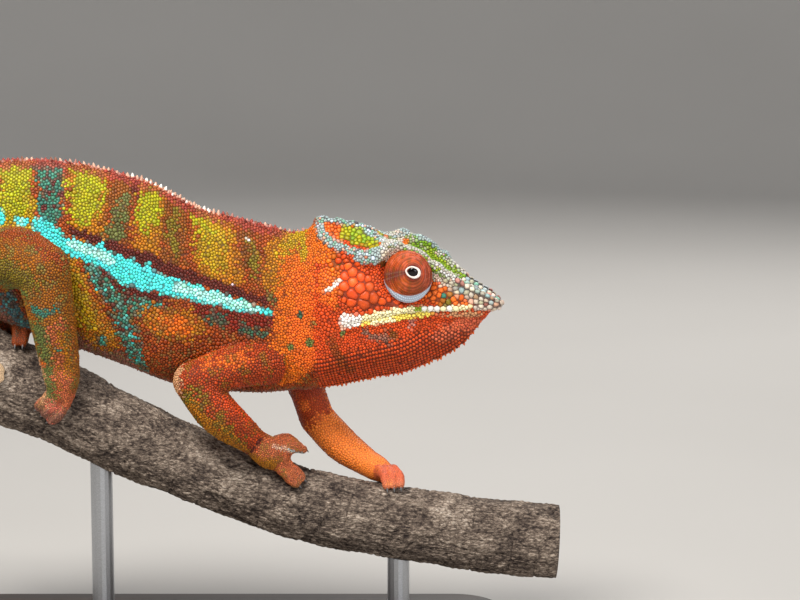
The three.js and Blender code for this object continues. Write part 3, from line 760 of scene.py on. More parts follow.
# Places on the straight body at x and steps, on the right (-1) or left (1) side.
def onBody(x, step, side):
    across, up = (np.diagonal(grid) for grid in bodySide(x, step))
    return np.stack([x, side * across, up], -1)


# Raised bands of small pale scales on the head: x, step and half width along each, on both sides.
crestBands = [
    [(36.6, 0.7, 1.8), (38.5, 1.45, 1.9), (41.3, 1.8, 1.8), (48, 1.75, 1.6), (52.3, 1.95, 1.5),
     (56.5, 2.15, 1.6), (61, 2.05, 1.8), (64, 1.75, 1.6), (70, 1.6, 1.6), (76, 1.65, 1.6), (82, 1.85, 1.6),
     (86, 1.9, 1.7), (89, 2.1, 1.7)],
    [(52.6, 2.5, 1.1), (56, 2.85, 1.5), (59.4, 2.95, 1.7), (61.4, 2.8, 1.3)],
    [(36.6, 0, 2.1), (44, 0, 2), (54, 0, 1.8), (58, 0.35, 1.8), (62, 0.9, 2.0), (65, 1.4, 2.0)],
]


def crestSamples():
    found = []
    for band in crestBands:
        band = np.array(band, float)
        fine = np.linspace(0, len(band) - 1, 14 * len(band))
        x, step, width = (np.interp(fine, np.arange(len(band)), band[:, a]) for a in range(3))
        found += [np.column_stack([onBody(x, np.maximum(step - lean * bell(x - 74, 10), 0), side), width])
                  for side, lean in ((-1, 0), (1, 0.6))]
    return np.vstack(found)


crestPlaces = crestSamples()


# How far outside the nearest crest band each straight place is, in millimetres.
def outsideCrests(p):
    outside = np.full(len(p), 9.0)
    near = np.flatnonzero(p[:, 0] > 33)
    for few in np.array_split(near, len(near) // 4000 + 1):
        away = np.linalg.norm(p[few, None] - crestPlaces[None, :, :3], axis=2) - crestPlaces[:, 3]
        outside[few] = away.min(1)
    return outside


eye = {  # of the right eye's turret; the left one is its mirror image
    "x": 71.4, "y": 10.4, "z": 147.8, "turnForward": 6, "tallness": 1.13,
    "profile": [(0, -3), (7.4, -3), (8.45, -0.6), (8.25, 1.8), (7.1, 4.15), (5.3, 6.0), (3.4, 7.1),
                (2.3, 7.45)],  # radius, height
    "rim": 10.6, "groove": 8.9,  # radii of the orbit's rim and of the groove inside it
}
mouthLine = along([(44, 128.4), (50, 130.5), (56, 131.7), (60, 132.5), (65.5, 133.7), (70.4, 134.6),
                   (76, 135), (86, 134.7), (94, 134.7), (99, 134.1), (103.4, 134.8)])


def fromEye(x, z):  # the distance from the middle of the eye's oval, seen from the side
    return np.hypot(x - eye["x"], (z - eye["z"]) / eye["tallness"])


# What the skin adds to the plain lofts, in millimetres outwards.
raised = {
    "crest": 0.9, "nearBrow": 0.7, "farBrow": 2.6,  # bands of the head, and what the brows add to them
    "orbitRim": 0.5, "orbitGroove": -0.7,
    "upperLip": 0.7, "lowerLip": 0.5, "mouth": -0.5,
    "napeFold": -0.5, "neckFold": -0.35,
    "ribs": 0.22, "ribPitch": 8.5,
}


def relief(p, kind):
    x, y, z = p.T
    isBody = kind == "body"
    onHead = isBody * smooth((x - 35) / 4)
    brow = raised["crest"] + bell(x - 75, 8) * np.where(y > 0, raised["farBrow"], raised["nearBrow"])
    lift = brow * smooth(0.5 - outsideCrests(p) / 1.6) * onHead
    ring = fromEye(x, z)
    beside = smooth((np.abs(y) - 4) / 3) * isBody
    lift += (raised["orbitRim"] * bell(ring - eye["rim"], 1.0)
             + raised["orbitGroove"] * bell(ring - eye["groove"], 0.8)) * beside
    fromMouth = z - mouthLine(x)
    lips = onHead * smooth((x - 44) / 6)
    lift += lips * (raised["upperLip"] * bell(fromMouth - 1.2, 1.0)
                    + raised["lowerLip"] * bell(fromMouth + 1.3, 1.0)
                    + raised["mouth"] * bell(fromMouth, 0.4))
    lift += raised["napeFold"] * bell(x - 37.5 - 0.09 * (z - 130), 1.6) * isBody * smooth((152 - z) / 8)
    lift += raised["neckFold"] * bell(x - 31 - 0.05 * (z - 130), 1.8) * isBody * smooth((150 - z) / 10)
    flank = isBody * smooth((18 - x) / 12) * smooth((x + 92) / 14) * smooth((z - bellyLine(x) - 6) / 16)
    wave = np.sin(2 * pi * (x + 0.35 * (z - 150)) / raised["ribPitch"])
    lift += raised["ribs"] * flank * wave * smooth((backLine(x) - z - 8) / 14)
    return lift


skinVerts, skinFaces = wrappedSkin()
skinEdges = edgesOf(skinFaces)
skinVerts = relaxed(skinVerts, skinEdges, 0.5, 4)
kinds = np.array([part["kind"] for part in parts])
legOf = np.array([part["leg"] for part in parts])
vertPart, vertShare, vertAngle = coordinates(skinVerts, straightened(skinVerts))
vertKind = kinds[vertPart]
skinVerts = skinVerts + normalsOf(skinVerts, skinFaces) * relief(straightened(skinVerts), vertKind)[:, None]
skinVerts = relaxed(skinVerts, skinEdges, 0.35, 1)
skinNormals = normalsOf(skinVerts, skinFaces)
skinTree = BVHTree.FromPolygons(skinVerts.tolist(), skinFaces.tolist())
print("skin:", len(skinVerts), "vertices,", 2 * len(skinFaces), "triangles")


def onSkin(places):  # the nearest places of the skin, and its smooth normals there
    found = [skinTree.find_nearest(p) for p in places]
    at = np.array([f[0] for f in found])
    corners = skinFaces[np.array([f[2] for f in found])]
    weight = 1 / (np.linalg.norm(skinVerts[corners] - at[:, None], axis=2) + 0.02) ** 2
    return at, unit((skinNormals[corners] * weight[..., None]).sum(1))


# How large the scales are in each place: the mean distance between roots in millimetres.
scaleSize = {
    "flank": 1.1, "back": 1.04, "belly": 1.0, "throat": 0.98, "neck": 0.92, "jaw": 0.95, "head": 1.1,
    "crest": 0.98, "casque": 1.5, "temple": 1.8, "cheek": 3.5, "snout": 1.8, "rostrum": 1.75, "orbit": 0.9,
    "tail": 1.15, "tailTip": 0.66, "upper": 0.96, "lower": 0.93, "palm": 0.74, "toe": 0.62,
}
# Patches with scales of their own size, as thick lines on the straight animal seen from its side: size,
# softness of the border, and x, z, half width along the line.
sizePatches = [
    (scaleSize["cheek"], 1.2, [(51, 149.4, 3), (53, 143.5, 6), (58, 139.4, 4.2)]),
    (scaleSize["cheek"] * 0.75, 1.2, [(61.8, 138.6, 2.0), (70, 138, 1.2)]),
    (scaleSize["temple"], 1.2, [(44.5, 151.5, 2.6), (47.5, 152.5, 2.6)]),
    (scaleSize["casque"], 1.0, [(44, 161.5, 2.6), (54, 159.8, 2.8), (62, 158.8, 1.8)]),
    (scaleSize["snout"], 1.0, [(80, 141.6, 3), (88, 139.6, 2.6)]),
    (scaleSize["rostrum"], 1.2, [(89.5, 142.2, 2.8), (97, 138.6, 3.4), (103, 136, 2.4)]),
]


# How far outside a thick line each place is: the distance to its nearest piece less the half width there.
def outsideOf(line, x, z):
    line = np.array(line, float)
    if len(line) == 1:
        return np.hypot(x - line[0, 0], z - line[0, 1]) - line[0, 2]
    best = np.full(len(x), 1e9)
    for a, b in zip(line[:-1], line[1:]):
        reach = b[:2] - a[:2]
        t = np.clip(((x - a[0]) * reach[0] + (z - a[1]) * reach[1]) / (reach @ reach), 0, 1)
        away = np.hypot(x - a[0] - t * reach[0], z - a[1] - t * reach[1])
        best = np.minimum(best, away - a[2] - t * (b[2] - a[2]))
    return best


def spacing(p, kind, alongPart):
    x, y, z = p.T
    size = np.full(len(p), scaleSize["flank"])
    height = (z - bellyLine(x)) / (backLine(x) - bellyLine(x))
    size = np.where(height > 0.88, scaleSize["back"], size)
    head = smooth((x - 38) / 5)
    below = mouthLine(x) - z
    for name, share in (
            ("belly", smooth((0.22 - height) / 0.12)), ("neck", smooth((x - 14) / 12)), ("head", head),
            ("jaw", head * smooth(below / 2)), ("throat", head * smooth((below - 5) / 6)),
            ("orbit", bell(fromEye(x, z) - 10.2, 2.2) * (np.abs(y) > 4))):
        size += (scaleSize[name] - size) * share
    for patch, soft, line in sizePatches:
        size += (patch - size) * smooth(0.5 - outsideOf(line, x, z) / soft)
    size += (scaleSize["crest"] - size) * head * smooth(0.5 - outsideCrests(p)) * (x < 88)
    tailSize = scaleSize["tail"] + (scaleSize["tailTip"] - scaleSize["tail"]) * smooth(alongPart * 1.1)
    size = np.where(kind == "tail", tailSize, size)
    for name in ("upper", "lower", "palm", "toe"):
        size = np.where(kind == name, scaleSize[name], size)
    return size


# Rows of scales set one by one, mirrored on the left side: places as (x, step down the side), the
# distance from scale to scale, their height, and the names of the colours they take in turn.
rows = {
    "rostral ridge": dict(line=[(88.6, 2.3), (93, 2.4), (98, 2.5), (102.3, 2.6)], pitch=1.9, height=0.8,
                          colours=("frost", "bone", "dusty", "bone", "blush")),
    "rostral side": dict(line=[(90, 3.6), (94.5, 3.8), (99, 3.9), (102, 4)], pitch=1.9, height=0.65,
                         colours=("bone", "blush", "frost", "bone")),
    "rostral top": dict(line=[(91, 0.9), (97, 0.8), (102, 0.8)], pitch=1.8, height=0.65,
                        colours=("frost", "bone", "mint", "bone")),
    "upper lip": dict(line=[(77, 7.5), (80, 7.48), (84.3, 7.45), (88, 7.3)], pitch=2.2, height=0.5,
                      colours=("white", "white", "cream")),
}
# Columns of scales: x from and to, distance between columns, from the back (0) or the throat (12), how far
# down or up the side they start and end, distance between scales in a column, how much of their size the
# scales reach, and how much room they keep from scales that aren't set.
columns = {
    "upper back": dict(x=(-97, 20), pitch=0.98, step=0, reach=(3.4, 9.4), gap=1.45, cap=0.75, room=1.14),
    "throat": dict(x=(38, 93), pitch=1.1, step=12, reach=(1.4, 19), gap=1.74, cap=0.5, room=1.7),
}
# The other scales are random draws.
scatter = {
    "drawn": 6,  # candidates for each scale
    "apart": 0.8,  # how near two roots may be, in shares of their size
    "variety": (0.84, 1.04), "large": 1.5, "largeShare": 0.09,
    "rounds": 5, "push": 0.28, "rest": 1.04,  # how they are pushed apart, to what share of their size
    "plate": 2.2,  # above this size a scale is a flat plate
    "cap": 0.75, "plateCap": 0.92,  # how much of its size a scale reaches
}


# Scales at even distances along a row: places, sizes, heights, colours, caps and room, side by side.
def rowScales(row):
    line = np.array(row["line"], float)
    fine = np.linspace(0, len(line) - 1, 20 * len(line))
    x, step = (rowsAlong(np.arange(len(line)), line[:, a], fine) for a in (0, 1))
    run = runLengths(onBody(x, step, 1))
    count = int(run[-1] / row["pitch"]) + 1
    at, pitch = np.linspace(0, run[-1], count), np.full(count, row["pitch"])
    for side in (-1, 1):
        height = row["height"] * rng.uniform(0.75, 1.2, count)
        colours = [row["colours"][i % len(row["colours"])] for i in rng.permutation(count)]
        places = onBody(np.interp(at, run, x), np.interp(at, run, step), side)
        yield places, pitch, height, colours, np.full(count, scatter["cap"]), pitch


# The same for columns: each starts at the back or throat and follows the body's side by its length.
def columnScales(column):
    fromBack, pitch = column["step"] == 0, column["pitch"]
    x = np.arange(*column["x"], pitch)
    across, up = bodySide(x, np.abs(column["step"] - np.linspace(0, 7, 300))[::1 if fromBack else -1])
    if not fromBack:
        across, up = across[:, ::-1], up[:, ::-1]
    run = np.cumsum(np.hypot(np.diff(across, axis=1, prepend=across[:, :1]),
                             np.diff(up, axis=1, prepend=up[:, :1])), 1)
    down = np.arange(*column["reach"], column["gap"])
    halfway = 0.5 * column["gap"] * (np.arange(len(x)) % 2) * fromBack
    at = [np.stack([np.full(len(down), x[i]), np.interp(down + halfway[i], run[i], across[i]),
                    np.interp(down + halfway[i], run[i], up[i])], -1) for i in range(len(x))]
    places = np.vstack(at) + rng.normal(0, 0.07, (len(x) * len(down), 3))
    places = places[fromBack | (places[:, 2] < mouthLine(places[:, 0]) - 8)]
    size, height, cap, room = (np.full(len(places), value) for value in (
        1.14 * pitch, 0.32 * pitch, column["cap"], column["room"] * pitch))
    for side in (-1, 1):
        yield places * [1, side, 1], size, height, [""] * len(places), cap, room


def setScales():
    found = [scales for row in rows.values() for scales in rowScales(row)]
    found += [scales for column in columns.values() for scales in columnScales(column)]
    places, *others = zip(*found)
    return onSkin(turned(np.vstack(places)))[0], *(np.concatenate(column) for column in others)


# Roots of all the scales: random candidates, spread by area over size squared, are thinned so that none has
# a neighbour too near. The highest rank among neighbours stays, and rows and columns outrank the others.
def scatteredRoots(fixed, fixedRoom):
    corners = skinVerts[skinFaces]
    straight = straightened(corners.mean(1))
    area = np.linalg.norm(np.cross(corners[:, 2] - corners[:, 0], corners[:, 3] - corners[:, 1]), axis=1) / 2
    size = spacing(straight, vertKind[skinFaces[:, 0]], vertShare[skinFaces[:, 0]])
    face = np.repeat(np.arange(len(skinFaces)), rng.poisson(area / size**2 * scatter["drawn"]))
    u, v = rng.random((2, len(face), 1))
    a, b, c, d = (corners[face, i] for i in range(4))
    p = (a * (1 - u) + b * u) * (1 - v) + (d * (1 - u) + c * u) * v
    large = (rng.random(len(face)) < scatter["largeShare"]) & (size[face] < scatter["plate"])
    size = size[face] * np.where(large, scatter["large"], rng.uniform(*scatter["variety"], len(face)))
    p, size = np.vstack([fixed, p]), np.concatenate([fixedRoom, size])
    isFixed = np.arange(len(p)) < len(fixed)
    i, j, apart = nearPairs(p, size * 1.6 * scatter["apart"])
    close = (apart < scatter["apart"] / 2 * (size[i] + size[j])) & ~(isFixed[i] & isFixed[j] & (apart > 0.9))
    i, j = np.concatenate([i[close], j[close]]), np.concatenate([j[close], i[close]])
    rank = rng.random(len(p)) + isFixed * (size + 1)
    alive, chosen = np.ones(len(p), bool), np.zeros(len(p), bool)
    while alive.any():
        undecided = alive[i] & alive[j]
        i, j = i[undecided], j[undecided]
        best = np.zeros(len(p))
        np.maximum.at(best, i, rank[j])
        new = alive & (rank > best)
        chosen |= new
        alive[new] = False
        alive[i[new[j]]] = False
    keep = np.flatnonzero(chosen)
    return p[keep], size[keep], keep


fixedAt, *fixedValues, fixedRoom = setScales()
seeds, seedSize, cameFrom = scatteredRoots(fixedAt, fixedRoom)
isSet = cameFrom < len(fixedAt)
fixedSize, fixedHeight, fixedColour, fixedCap = (values[cameFrom[isSet]] for values in fixedValues)
seedSize[:len(fixedSize)] = fixedSize
seedCap = np.where(seedSize > scatter["plate"], scatter["plateCap"], scatter["cap"])
seedCap[:len(fixedCap)] = fixedCap
for _ in range(scatter["rounds"]):
    i, j, apart = nearPairs(seeds, seedSize * 1.3)
    wanted = scatter["rest"] / 2 * (seedSize[i] + seedSize[j])
    push = np.maximum(wanted - apart, 0) / (apart + 1e-6) * scatter["push"]
    moved = gathered((seeds[i] - seeds[j]) * push[:, None], i, len(seeds))
    seeds, seedNormal = onSkin(seeds + np.where(isSet[:, None], 0, moved))
straightSeeds = straightened(seeds)
seedPart, seedShare, seedAngle = coordinates(seeds, straightSeeds)
seedKind = kinds[seedPart]
print("scales:", len(seeds), "of them", isSet.sum(), "in rows and columns")


# Colours of the skin as they look in plain daylight.
palette = {name: srgb(*rgb) for name, rgb in {
    "lime": (166, 162, 8), "yellow": (178, 142, 8), "amber": (178, 112, 8), "orange": (220, 106, 14),
    "red": (206, 72, 18), "flame": (232, 104, 26), "rust": (152, 66, 12), "darkRed": (120, 30, 12),
    "maroon": (92, 30, 20), "brown": (134, 74, 16), "umber": (156, 92, 8), "olive": (122, 104, 20),
    "sage": (104, 116, 56),
    "teal": (58, 124, 104), "tealDark": (52, 92, 72), "greyTeal": (98, 104, 52), "stripe": (80, 234, 228),
    "stripePale": (176, 250, 236), "sky": (66, 112, 118), "mauve": (140, 92, 74), "pink": (206, 108, 84),
    "beige": (206, 150, 106), "blush": (214, 168, 144), "coral": (222, 104, 66), "cream": (255, 242, 188),
    "butter": (255, 222, 96), "white": (250, 242, 232), "frost": (160, 180, 180), "mint": (126, 172, 150),
    "slate": (96, 98, 100), "green": (112, 150, 24), "leaf": (142, 166, 30), "plum": (100, 40, 36),
    "rose": (160, 64, 52), "scarlet": (224, 82, 26), "limbRed": (172, 62, 14), "tan": (190, 98, 56),
    "bone": (212, 196, 178), "peach": (255, 134, 50), "ice": (206, 222, 240), "dusty": (186, 128, 116),
    "groove": (88, 30, 8),
}.items()}
def spots(name, rough, *places):  # round marks of one colour
    return [(name, rough, place) for place in places]
# Marks on the flank, painted in turn: colour, how ragged the edge is in millimetres, and the thick line
# (x, z, half width) on the straight animal seen from its side.
flankMarks = [
    # the ground between the columns, and the lower flank
    ("rust", 3, (-99, 150, 14), (-60, 140, 22), (-20, 140, 26), (10, 136, 24), (30, 132, 22)),
    ("darkRed", 3, (-4, 134.6, 4.2), (10, 131.6, 5), (24, 129, 4.4)),
    ("mauve", 2.5, (-88, 133, 5), (-66, 126, 5), (-46, 120.5, 4.2), (-30, 114, 3.6)),
    # columns of lime and yellow, each running into orange below, with teal and brown bars between them
    ("leaf", 2, (-91, 182, 4), (-91, 172, 4.4)),
    ("amber", 2.5, (-90, 166, 4.6), (-88, 156, 5)),
    ("tealDark", 2, (-81, 186, 3.4), (-81, 172, 3.2), (-80, 162, 2.6)),
    ("yellow", 3, (-69.8, 186, 7), (-69.8, 166, 6.6), (-66, 160, 4.4)),
    ("lime", 3, (-70.4, 188, 5.4), (-70.6, 171, 5.2)),
    ("teal", 2.2, (-57.6, 188, 6), (-57.4, 181, 5.4), (-56.6, 172, 4), (-57, 165, 3)),
    ("amber", 3, (-44, 186, 7.6), (-43.6, 172, 8.2), (-40, 159, 6.6)),
    ("lime", 3.4, (-44.4, 186, 6), (-44, 177, 6.8), (-46, 170, 5)),
    ("brown", 3, (-30.6, 184, 4.6), (-32, 172, 4.4), (-35, 157, 4.6)),
    ("greyTeal", 2.6, (-30.6, 172, 2.2), (-34, 165, 2.6), (-35.6, 157, 2.8)),
    ("maroon", 2, (-27.4, 180, 2.2), (-26, 174.6, 1.8)),
    ("amber", 3, (-21, 175, 5.6), (-22, 166, 6), (-22.4, 156, 4.8)),
    ("lime", 3.4, (-21.6, 175.4, 4), (-22.6, 167.6, 4.6)),
    ("brown", 3, (-12, 175, 4), (-13, 164, 4.6), (-14, 150, 4.4)),
    ("olive", 1.6, (-12, 171, 1.2), (-15, 161, 1.3), (-12, 154, 1.2)),
    ("amber", 3, (0, 166, 7), (1, 155, 8), (3.4, 146.6, 8)),
    ("yellow", 3.4, (-2.6, 165.6, 4.6), (-0.6, 158.6, 6), (1, 151, 4)),
    ("lime", 3.4, (-4, 167, 2.4), (-2, 162, 1.6)),
    ("brown", 2.6, (12.6, 162, 2.6), (13.6, 152, 2.8), (16, 145, 2.6)),
    ("olive", 1.8, (13.6, 157, 1.1), (15.4, 147, 1.2)),
    ("amber", 3, (27, 159, 6), (25, 152, 7), (23, 145.6, 5)),
    ("yellow", 3, (29, 161, 3.4), (26.4, 153, 3)),
    ("greyTeal", 1.6, (20, 138.4, 1.6), (24, 136.6, 1.8)),
    # below the stripe
    ("sky", 2, (-73, 138, 2.6), (-69, 128, 3)),
    ("maroon", 3, (-41, 149, 5), (-30, 142, 6.6), (-19, 139, 4.6)),
    ("teal", 3, (-43, 149, 2.4), (-39, 143.6, 3.2), (-34, 137.8, 3.2), (-26, 135.6, 3),
        (-18.6, 136.8, 2.4)),
    ("maroon", 2, (-37, 149, 1.4), (-29, 144.4, 2.4), (-21, 140.6, 2)),
    ("amber", 3, (-51, 155, 4), (-48.4, 142, 5.4), (-43.6, 131, 5.8), (-38.6, 123.4, 5)),
    ("yellow", 3, (-49.4, 146, 2.6), (-44.6, 131, 2.8)),
    ("maroon", 2.4, (-33, 138, 3.8), (-31, 130, 3.4), (-28.6, 120, 3)),
    ("teal", 2.4, (-33, 138, 3), (-31, 130, 2.6), (-29, 123, 2.4), (-27.4, 117, 2), (-25.6, 112.6, 1.6)),
    ("teal", 1, (-39.8, 122.6, 1.9)),
    ("amber", 3.4, (-20, 131, 5), (-12, 128, 7.4), (-6, 125, 6)),
    ("orange", 3, (-18, 131, 2.8), (-10, 127.6, 3.4)),
    ("rust", 3, (-20, 121, 3), (-8, 120, 4), (2, 124, 3)),
    ("tealDark", 1.8, (-0.6, 131.8, 2.4), (3, 130.6, 2)),
    ("tealDark", 1.6, (11, 127.6, 1.5), (18, 125.4, 1.4)),
]
# The pale line along the flank, its dark red border and first blotches, and small spots over all else.
lineMarks = [
    ("maroon", 1.6, (-50, 163, 1), (-43, 160, 1.6), (-36, 157, 2.2), (-25, 152.6, 2.6), (-15, 148.4, 2.4),
        (-4, 145, 2), (10, 140.4, 1.6), (19, 137, 1.2)),
    ("stripe", 1.4, (-60.6, 164.4, 3), (-57.4, 161.8, 3.6), (-54.6, 159.4, 2.6), (-50, 157, 3),
        (-42.3, 154.6, 3.2), (-35.3, 151.2, 3.7), (-28, 147.2, 4), (-21, 144.6, 3.8), (-14, 142.6, 3.2),
        (-6.4, 140.8, 2.8), (-1, 139.2, 2.5), (4.2, 137.4, 2.2), (11.6, 135.6, 1.7), (20.5, 133.4, 1)),
    ("teal", 1.6, (-57, 168, 2.2), (-56.6, 171, 1.6)),
    ("stripe", 0.8, (-38.8, 156, 1.2), (-38.6, 159, 0.9)),
    ("stripe", 0.8, (-28.2, 150, 1.4), (-28.4, 153, 0.8)),
    ("stripe", 0.8, (-23, 148, 1.2), (-22.6, 150.6, 0.7)),
    ("stripePale", 1, (-50, 157.8, 1.6), (-42, 155.4, 1.8), (-36, 152.4, 1.6)),
    ("stripePale", 1, (-12, 142.6, 1.8), (-2, 139.8, 1.7), (6, 137.2, 1.5), (16, 134.6, 0.9)),
    ("stripe", 1, (-76, 168.6, 2.2), (-75, 166.6, 2.2)),
    ("stripe", 1, (-68.6, 166.2, 1.4), (-66.6, 165.6, 1.5)),
    *spots("stripePale", 0.8, (-67.4, 166, 1)),
    ("stripe", 1, (-83, 169, 2), (-89, 167, 1.8)),
    # round dark spots of the second teal bar, and white flecks
    *spots("plum", 0.6, (-56.6, 178.6, 1.1), (-58, 175.4, 1), (-53.6, 175.2, 1), (-59.4, 171, 1),
        (-55.6, 171, 1)),
    *spots("white", 0.3, (22, 119.4, 0.6), (33.3, 136.7, 0.7), (33.2, 126.6, 0.6), (7.4, 143.4, 0.6),
        (12.4, 158.6, 0.6)),
    # the shoulder and neck
    ("orange", 4, (30, 149, 6), (32, 138, 8), (30, 126, 8), (26, 114, 8)),
    ("flame", 4, (34, 146, 5), (34, 134, 6), (34, 120, 7)), ("orange", 3, (34.6, 162, 3), (36, 153, 4)),
    ("yellow", 3, (31.6, 160, 2), (33, 154, 1.6)),
    *spots("tealDark", 0.8, (32, 132.8, 1.2)), *spots("sage", 0.8, (37.6, 129.4, 1.8)),
    *spots("sage", 0.7, (42, 135.7, 1.4), (36, 123, 1.5), (28, 121, 1.5)),
]
headMarks = [
    ("red", 3, (36, 150, 8), (60, 150, 14), (90, 142, 10)),
    ("flame", 3, (42, 148, 4), (44, 138, 4)),
    ("orange", 3, (36.4, 160, 3), (40, 154, 3.4), (46, 150.6, 2.4)),
    ("scarlet", 2, (52.5, 148, 4), (54, 142.5, 4.6), (59, 139.4, 2.6)),
    ("flame", 2, (80, 142, 4), (92, 140, 3.4)),
    ("red", 2.5, (40, 128, 10), (60, 122, 9), (80, 126, 7), (96, 131, 3)),
    ("coral", 2.5, (84, 126, 4), (93, 130, 3)),
    # the casque's hollow between its rims, and the top of the snout
    ("flame", 2, (38, 163.6, 3), (42.6, 161.4, 3), (46, 161, 2)),
    ("lime", 1.6, (48.5, 162, 2.6), (54, 160.6, 2.8), (60, 159.4, 2.2)),
    ("leaf", 1.6, (51, 161.6, 1.6), (58, 160.2, 1.4)),
    ("sage", 1.6, (62, 159.4, 1.6), (66, 158.2, 2.2)),
    ("bone", 1.2, (62, 154.6, 2), (68, 156.4, 2.4), (76, 153, 3), (84, 147, 3), (89.6, 143, 2.4)),
    ("frost", 1.2, (36, 165.6, 1.8), (40, 166.8, 1.6), (48, 165.6, 1.4)),
    ("frost", 1.2, (64, 161, 1.6), (70, 160.8, 2), (76, 158.8, 2.4), (82, 154.8, 2.4), (87, 150, 2),
        (91, 146, 1.8)),
    ("green", 1.2, (70, 158, 1.7), (75.4, 155.2, 2.1), (81, 151.4, 1.9), (86.4, 147.6, 1.4),
        (89.6, 145.2, 0.8)),
    ("leaf", 1, (76, 155, 1.1), (82, 150.8, 1), (88, 146.4, 0.7)),
    *spots("orange", 0.6, (68.6, 157.2, 0.9), (61.8, 158.8, 1.1)),
    ("bone", 1.2, (90.6, 142.4, 2.6), (97, 139.4, 3.4), (103.4, 136, 3)),
    ("dusty", 1.6, (95, 139, 1.2), (102, 136.6, 1.2)),
    ("frost", 1.6, (92, 144, 1.4), (97.6, 141.4, 1.4)),
    ("plum", 0.5, (96.8, 136.6, 0.7), (99.4, 135.7, 0.5)),
    ("white", 0.6, (41.6, 141.7, 0.4), (45.9, 144.9, 0.6), (48.7, 146.6, 0.3)),
    *spots("olive", 1.4, (47, 151, 1.2)), *spots("brown", 1.6, (47, 136.6, 1.2)),
    *spots("brown", 1.2, (62.4, 152.4, 1.2)), *spots("teal", 0.4, (83.4, 140.6, 0.9)),
    *spots("sage", 0.7, (86.2, 140.3, 1)), *spots("olive", 1, (84, 138, 1.2)),
    ("mauve", 3, (56, 127.6, 1.6), (63, 125, 2)), *spots("brown", 1.4, (66, 127, 1.2)),
    *spots("dusty", 3, (72, 130, 1.4)), *spots("sage", 1.2, (48, 127, 1)),
    ("rust", 2, (44, 124, 1.6), (50, 112, 1.6)),
    # the lips: a yellow line below, cream and greenish above, a white patch at the corner of the mouth
    ("butter", 0.5, (53, 131.6, 1.7), (60, 132.4, 1.8), (65.5, 133.4, 1.7), (72, 134.2, 1.5),
        (79, 134.2, 1)),
    ("cream", 0.5, (55, 132.8, 1.2), (60, 133.7, 1.3), (65.5, 134.9, 1.3), (71, 135.8, 1.2),
        (76, 136.1, 1.1)),
    ("cream", 0.4, (58.6, 130.8, 0.8), (66, 132.2, 0.8)),
    ("cream", 0.4, (76, 136.1, 1.1), (84, 135.9, 1), (92, 135.8, 0.9)),
    ("leaf", 0.6, (74.6, 136.2, 0.8), (77.6, 136.2, 0.8)),
    ("white", 0.4, (79, 136.1, 1), (86, 135.9, 1)),
    ("bone", 0.6, (94.5, 135.8, 0.9), (101, 135, 0.9)),
    ("beige", 0.8, (82, 133.6, 0.7), (97, 132.8, 0.7)),
    ("white", 0.5, (49.6, 131.8, 2.6), (53, 132, 2.2)), ("blush", 0.5, (48.4, 129.2, 0.9)),
]
# Marks on the two right legs where they stand, painted over each leg's own colours.
legMarks = {
    "front_right": [
        ("olive", 5, (-8, 104, 4), (-2, 96, 5), (7, 87, 4)),
        ("amber", 4, (-6, 101, 2.6), (1, 93, 2.8), (8, 85, 2)),
        ("flame", 4, (12, 118, 1.6), (-2, 116.6, 1.4)),
        ("rust", 3, (6, 106, 2.6), (13, 97, 2.4), (19, 90, 2)),
        ("red", 3, (3, 104, 1.6), (13, 96.6, 1.8)),
        ("beige", 3.4, (-12.4, 114, 2.2), (-12.4, 107, 2.2)),
        ("maroon", 0.8, (16.9, 88.2, 0.4), (13.4, 83.8, 0.7), (11.5, 81.2, 0.4)),
        ("amber", 3, (14, 80, 2.6), (20, 78, 2.4)),
        ("blush", 0.7, (21, 85.6, 0.3), (26, 83.6, 0.6), (32.8, 80.2, 0.8)),
        ("frost", 0.5, (27, 83.4, 0.3), (32, 81, 0.4)),
    ],
    "hind_right": [
        ("olive", 4, (-84, 152, 5), (-72, 149, 6), (-62, 147, 4)),
        ("sage", 4, (-76, 144, 1.4), (-66, 142, 1.4)),
        ("rust", 3, (-72, 163, 1.4), (-60, 161, 2), (-51.6, 154, 1.6)),
        ("teal", 2, (-60.6, 137, 1.6), (-56.6, 135.6, 1.6), (-53.4, 137.6, 1.2)),
        ("sage", 4, (-60, 130, 3), (-58, 118, 3), (-57, 106, 3)),
        ("tan", 3.4, (-53, 130, 2.6), (-52, 118, 2.8), (-52, 104, 3)),
        ("amber", 3, (-51.6, 128, 1.6), (-51, 114, 1.6)),
        ("teal", 1.4, (-54, 122.4, 1.2)),
        ("flame", 1.6, (-59.6, 116.4, 1.3)),
        ("beige", 2.4, (-61.4, 118, 1), (-60.8, 108, 1.3), (-60, 100, 1.2)),
        ("mauve", 2, (-62, 99, 2), (-58, 95, 2.6), (-52, 97, 2)),
        ("pink", 2, (-62, 95.6, 1.2), (-56, 92, 1.6)),
    ],
}


# A smooth wandering value between about -1 and 1: four waves in different directions.
def wander(p, size, phase=0.0):
    x, y, z = np.moveaxis(p / size, -1, 0)
    waves = (2.1 * x + 1.3 * z + phase, -1.7 * x + 2.3 * z + 1.9 * phase + 1,
             1.1 * z + 2.9 * y + 0.6 * x + 2.3 * phase, 3.1 * x - 0.7 * y + 3.7 * phase)
    return sum(np.sin(wave) for wave in waves) / 3


def plain(name, count):
    return np.tile(palette[name], (count, 1))


def blend(colour, name, share):
    return colour + (palette[name] - colour) * np.clip(share, 0, 1)[:, None]


# Paints marks one over another; their edges wander, in another way on the left side.
def layMarks(colour, marks, p, wobble):
    side = np.where(p[:, 1] < 0, 0.0, 2.4)
    ragged = 0.55 * wander(p, 2.2, side) + 0.45 * wander(p, 5.5, side + 1) + 1.5 * wobble
    for name, rough, *line in marks:
        outside = outsideOf(line, p[:, 0], p[:, 2]) + 0.5 * rough * ragged
        colour = blend(colour, name, 0.5 - outside / (0.25 * rough + 0.25))
    return colour


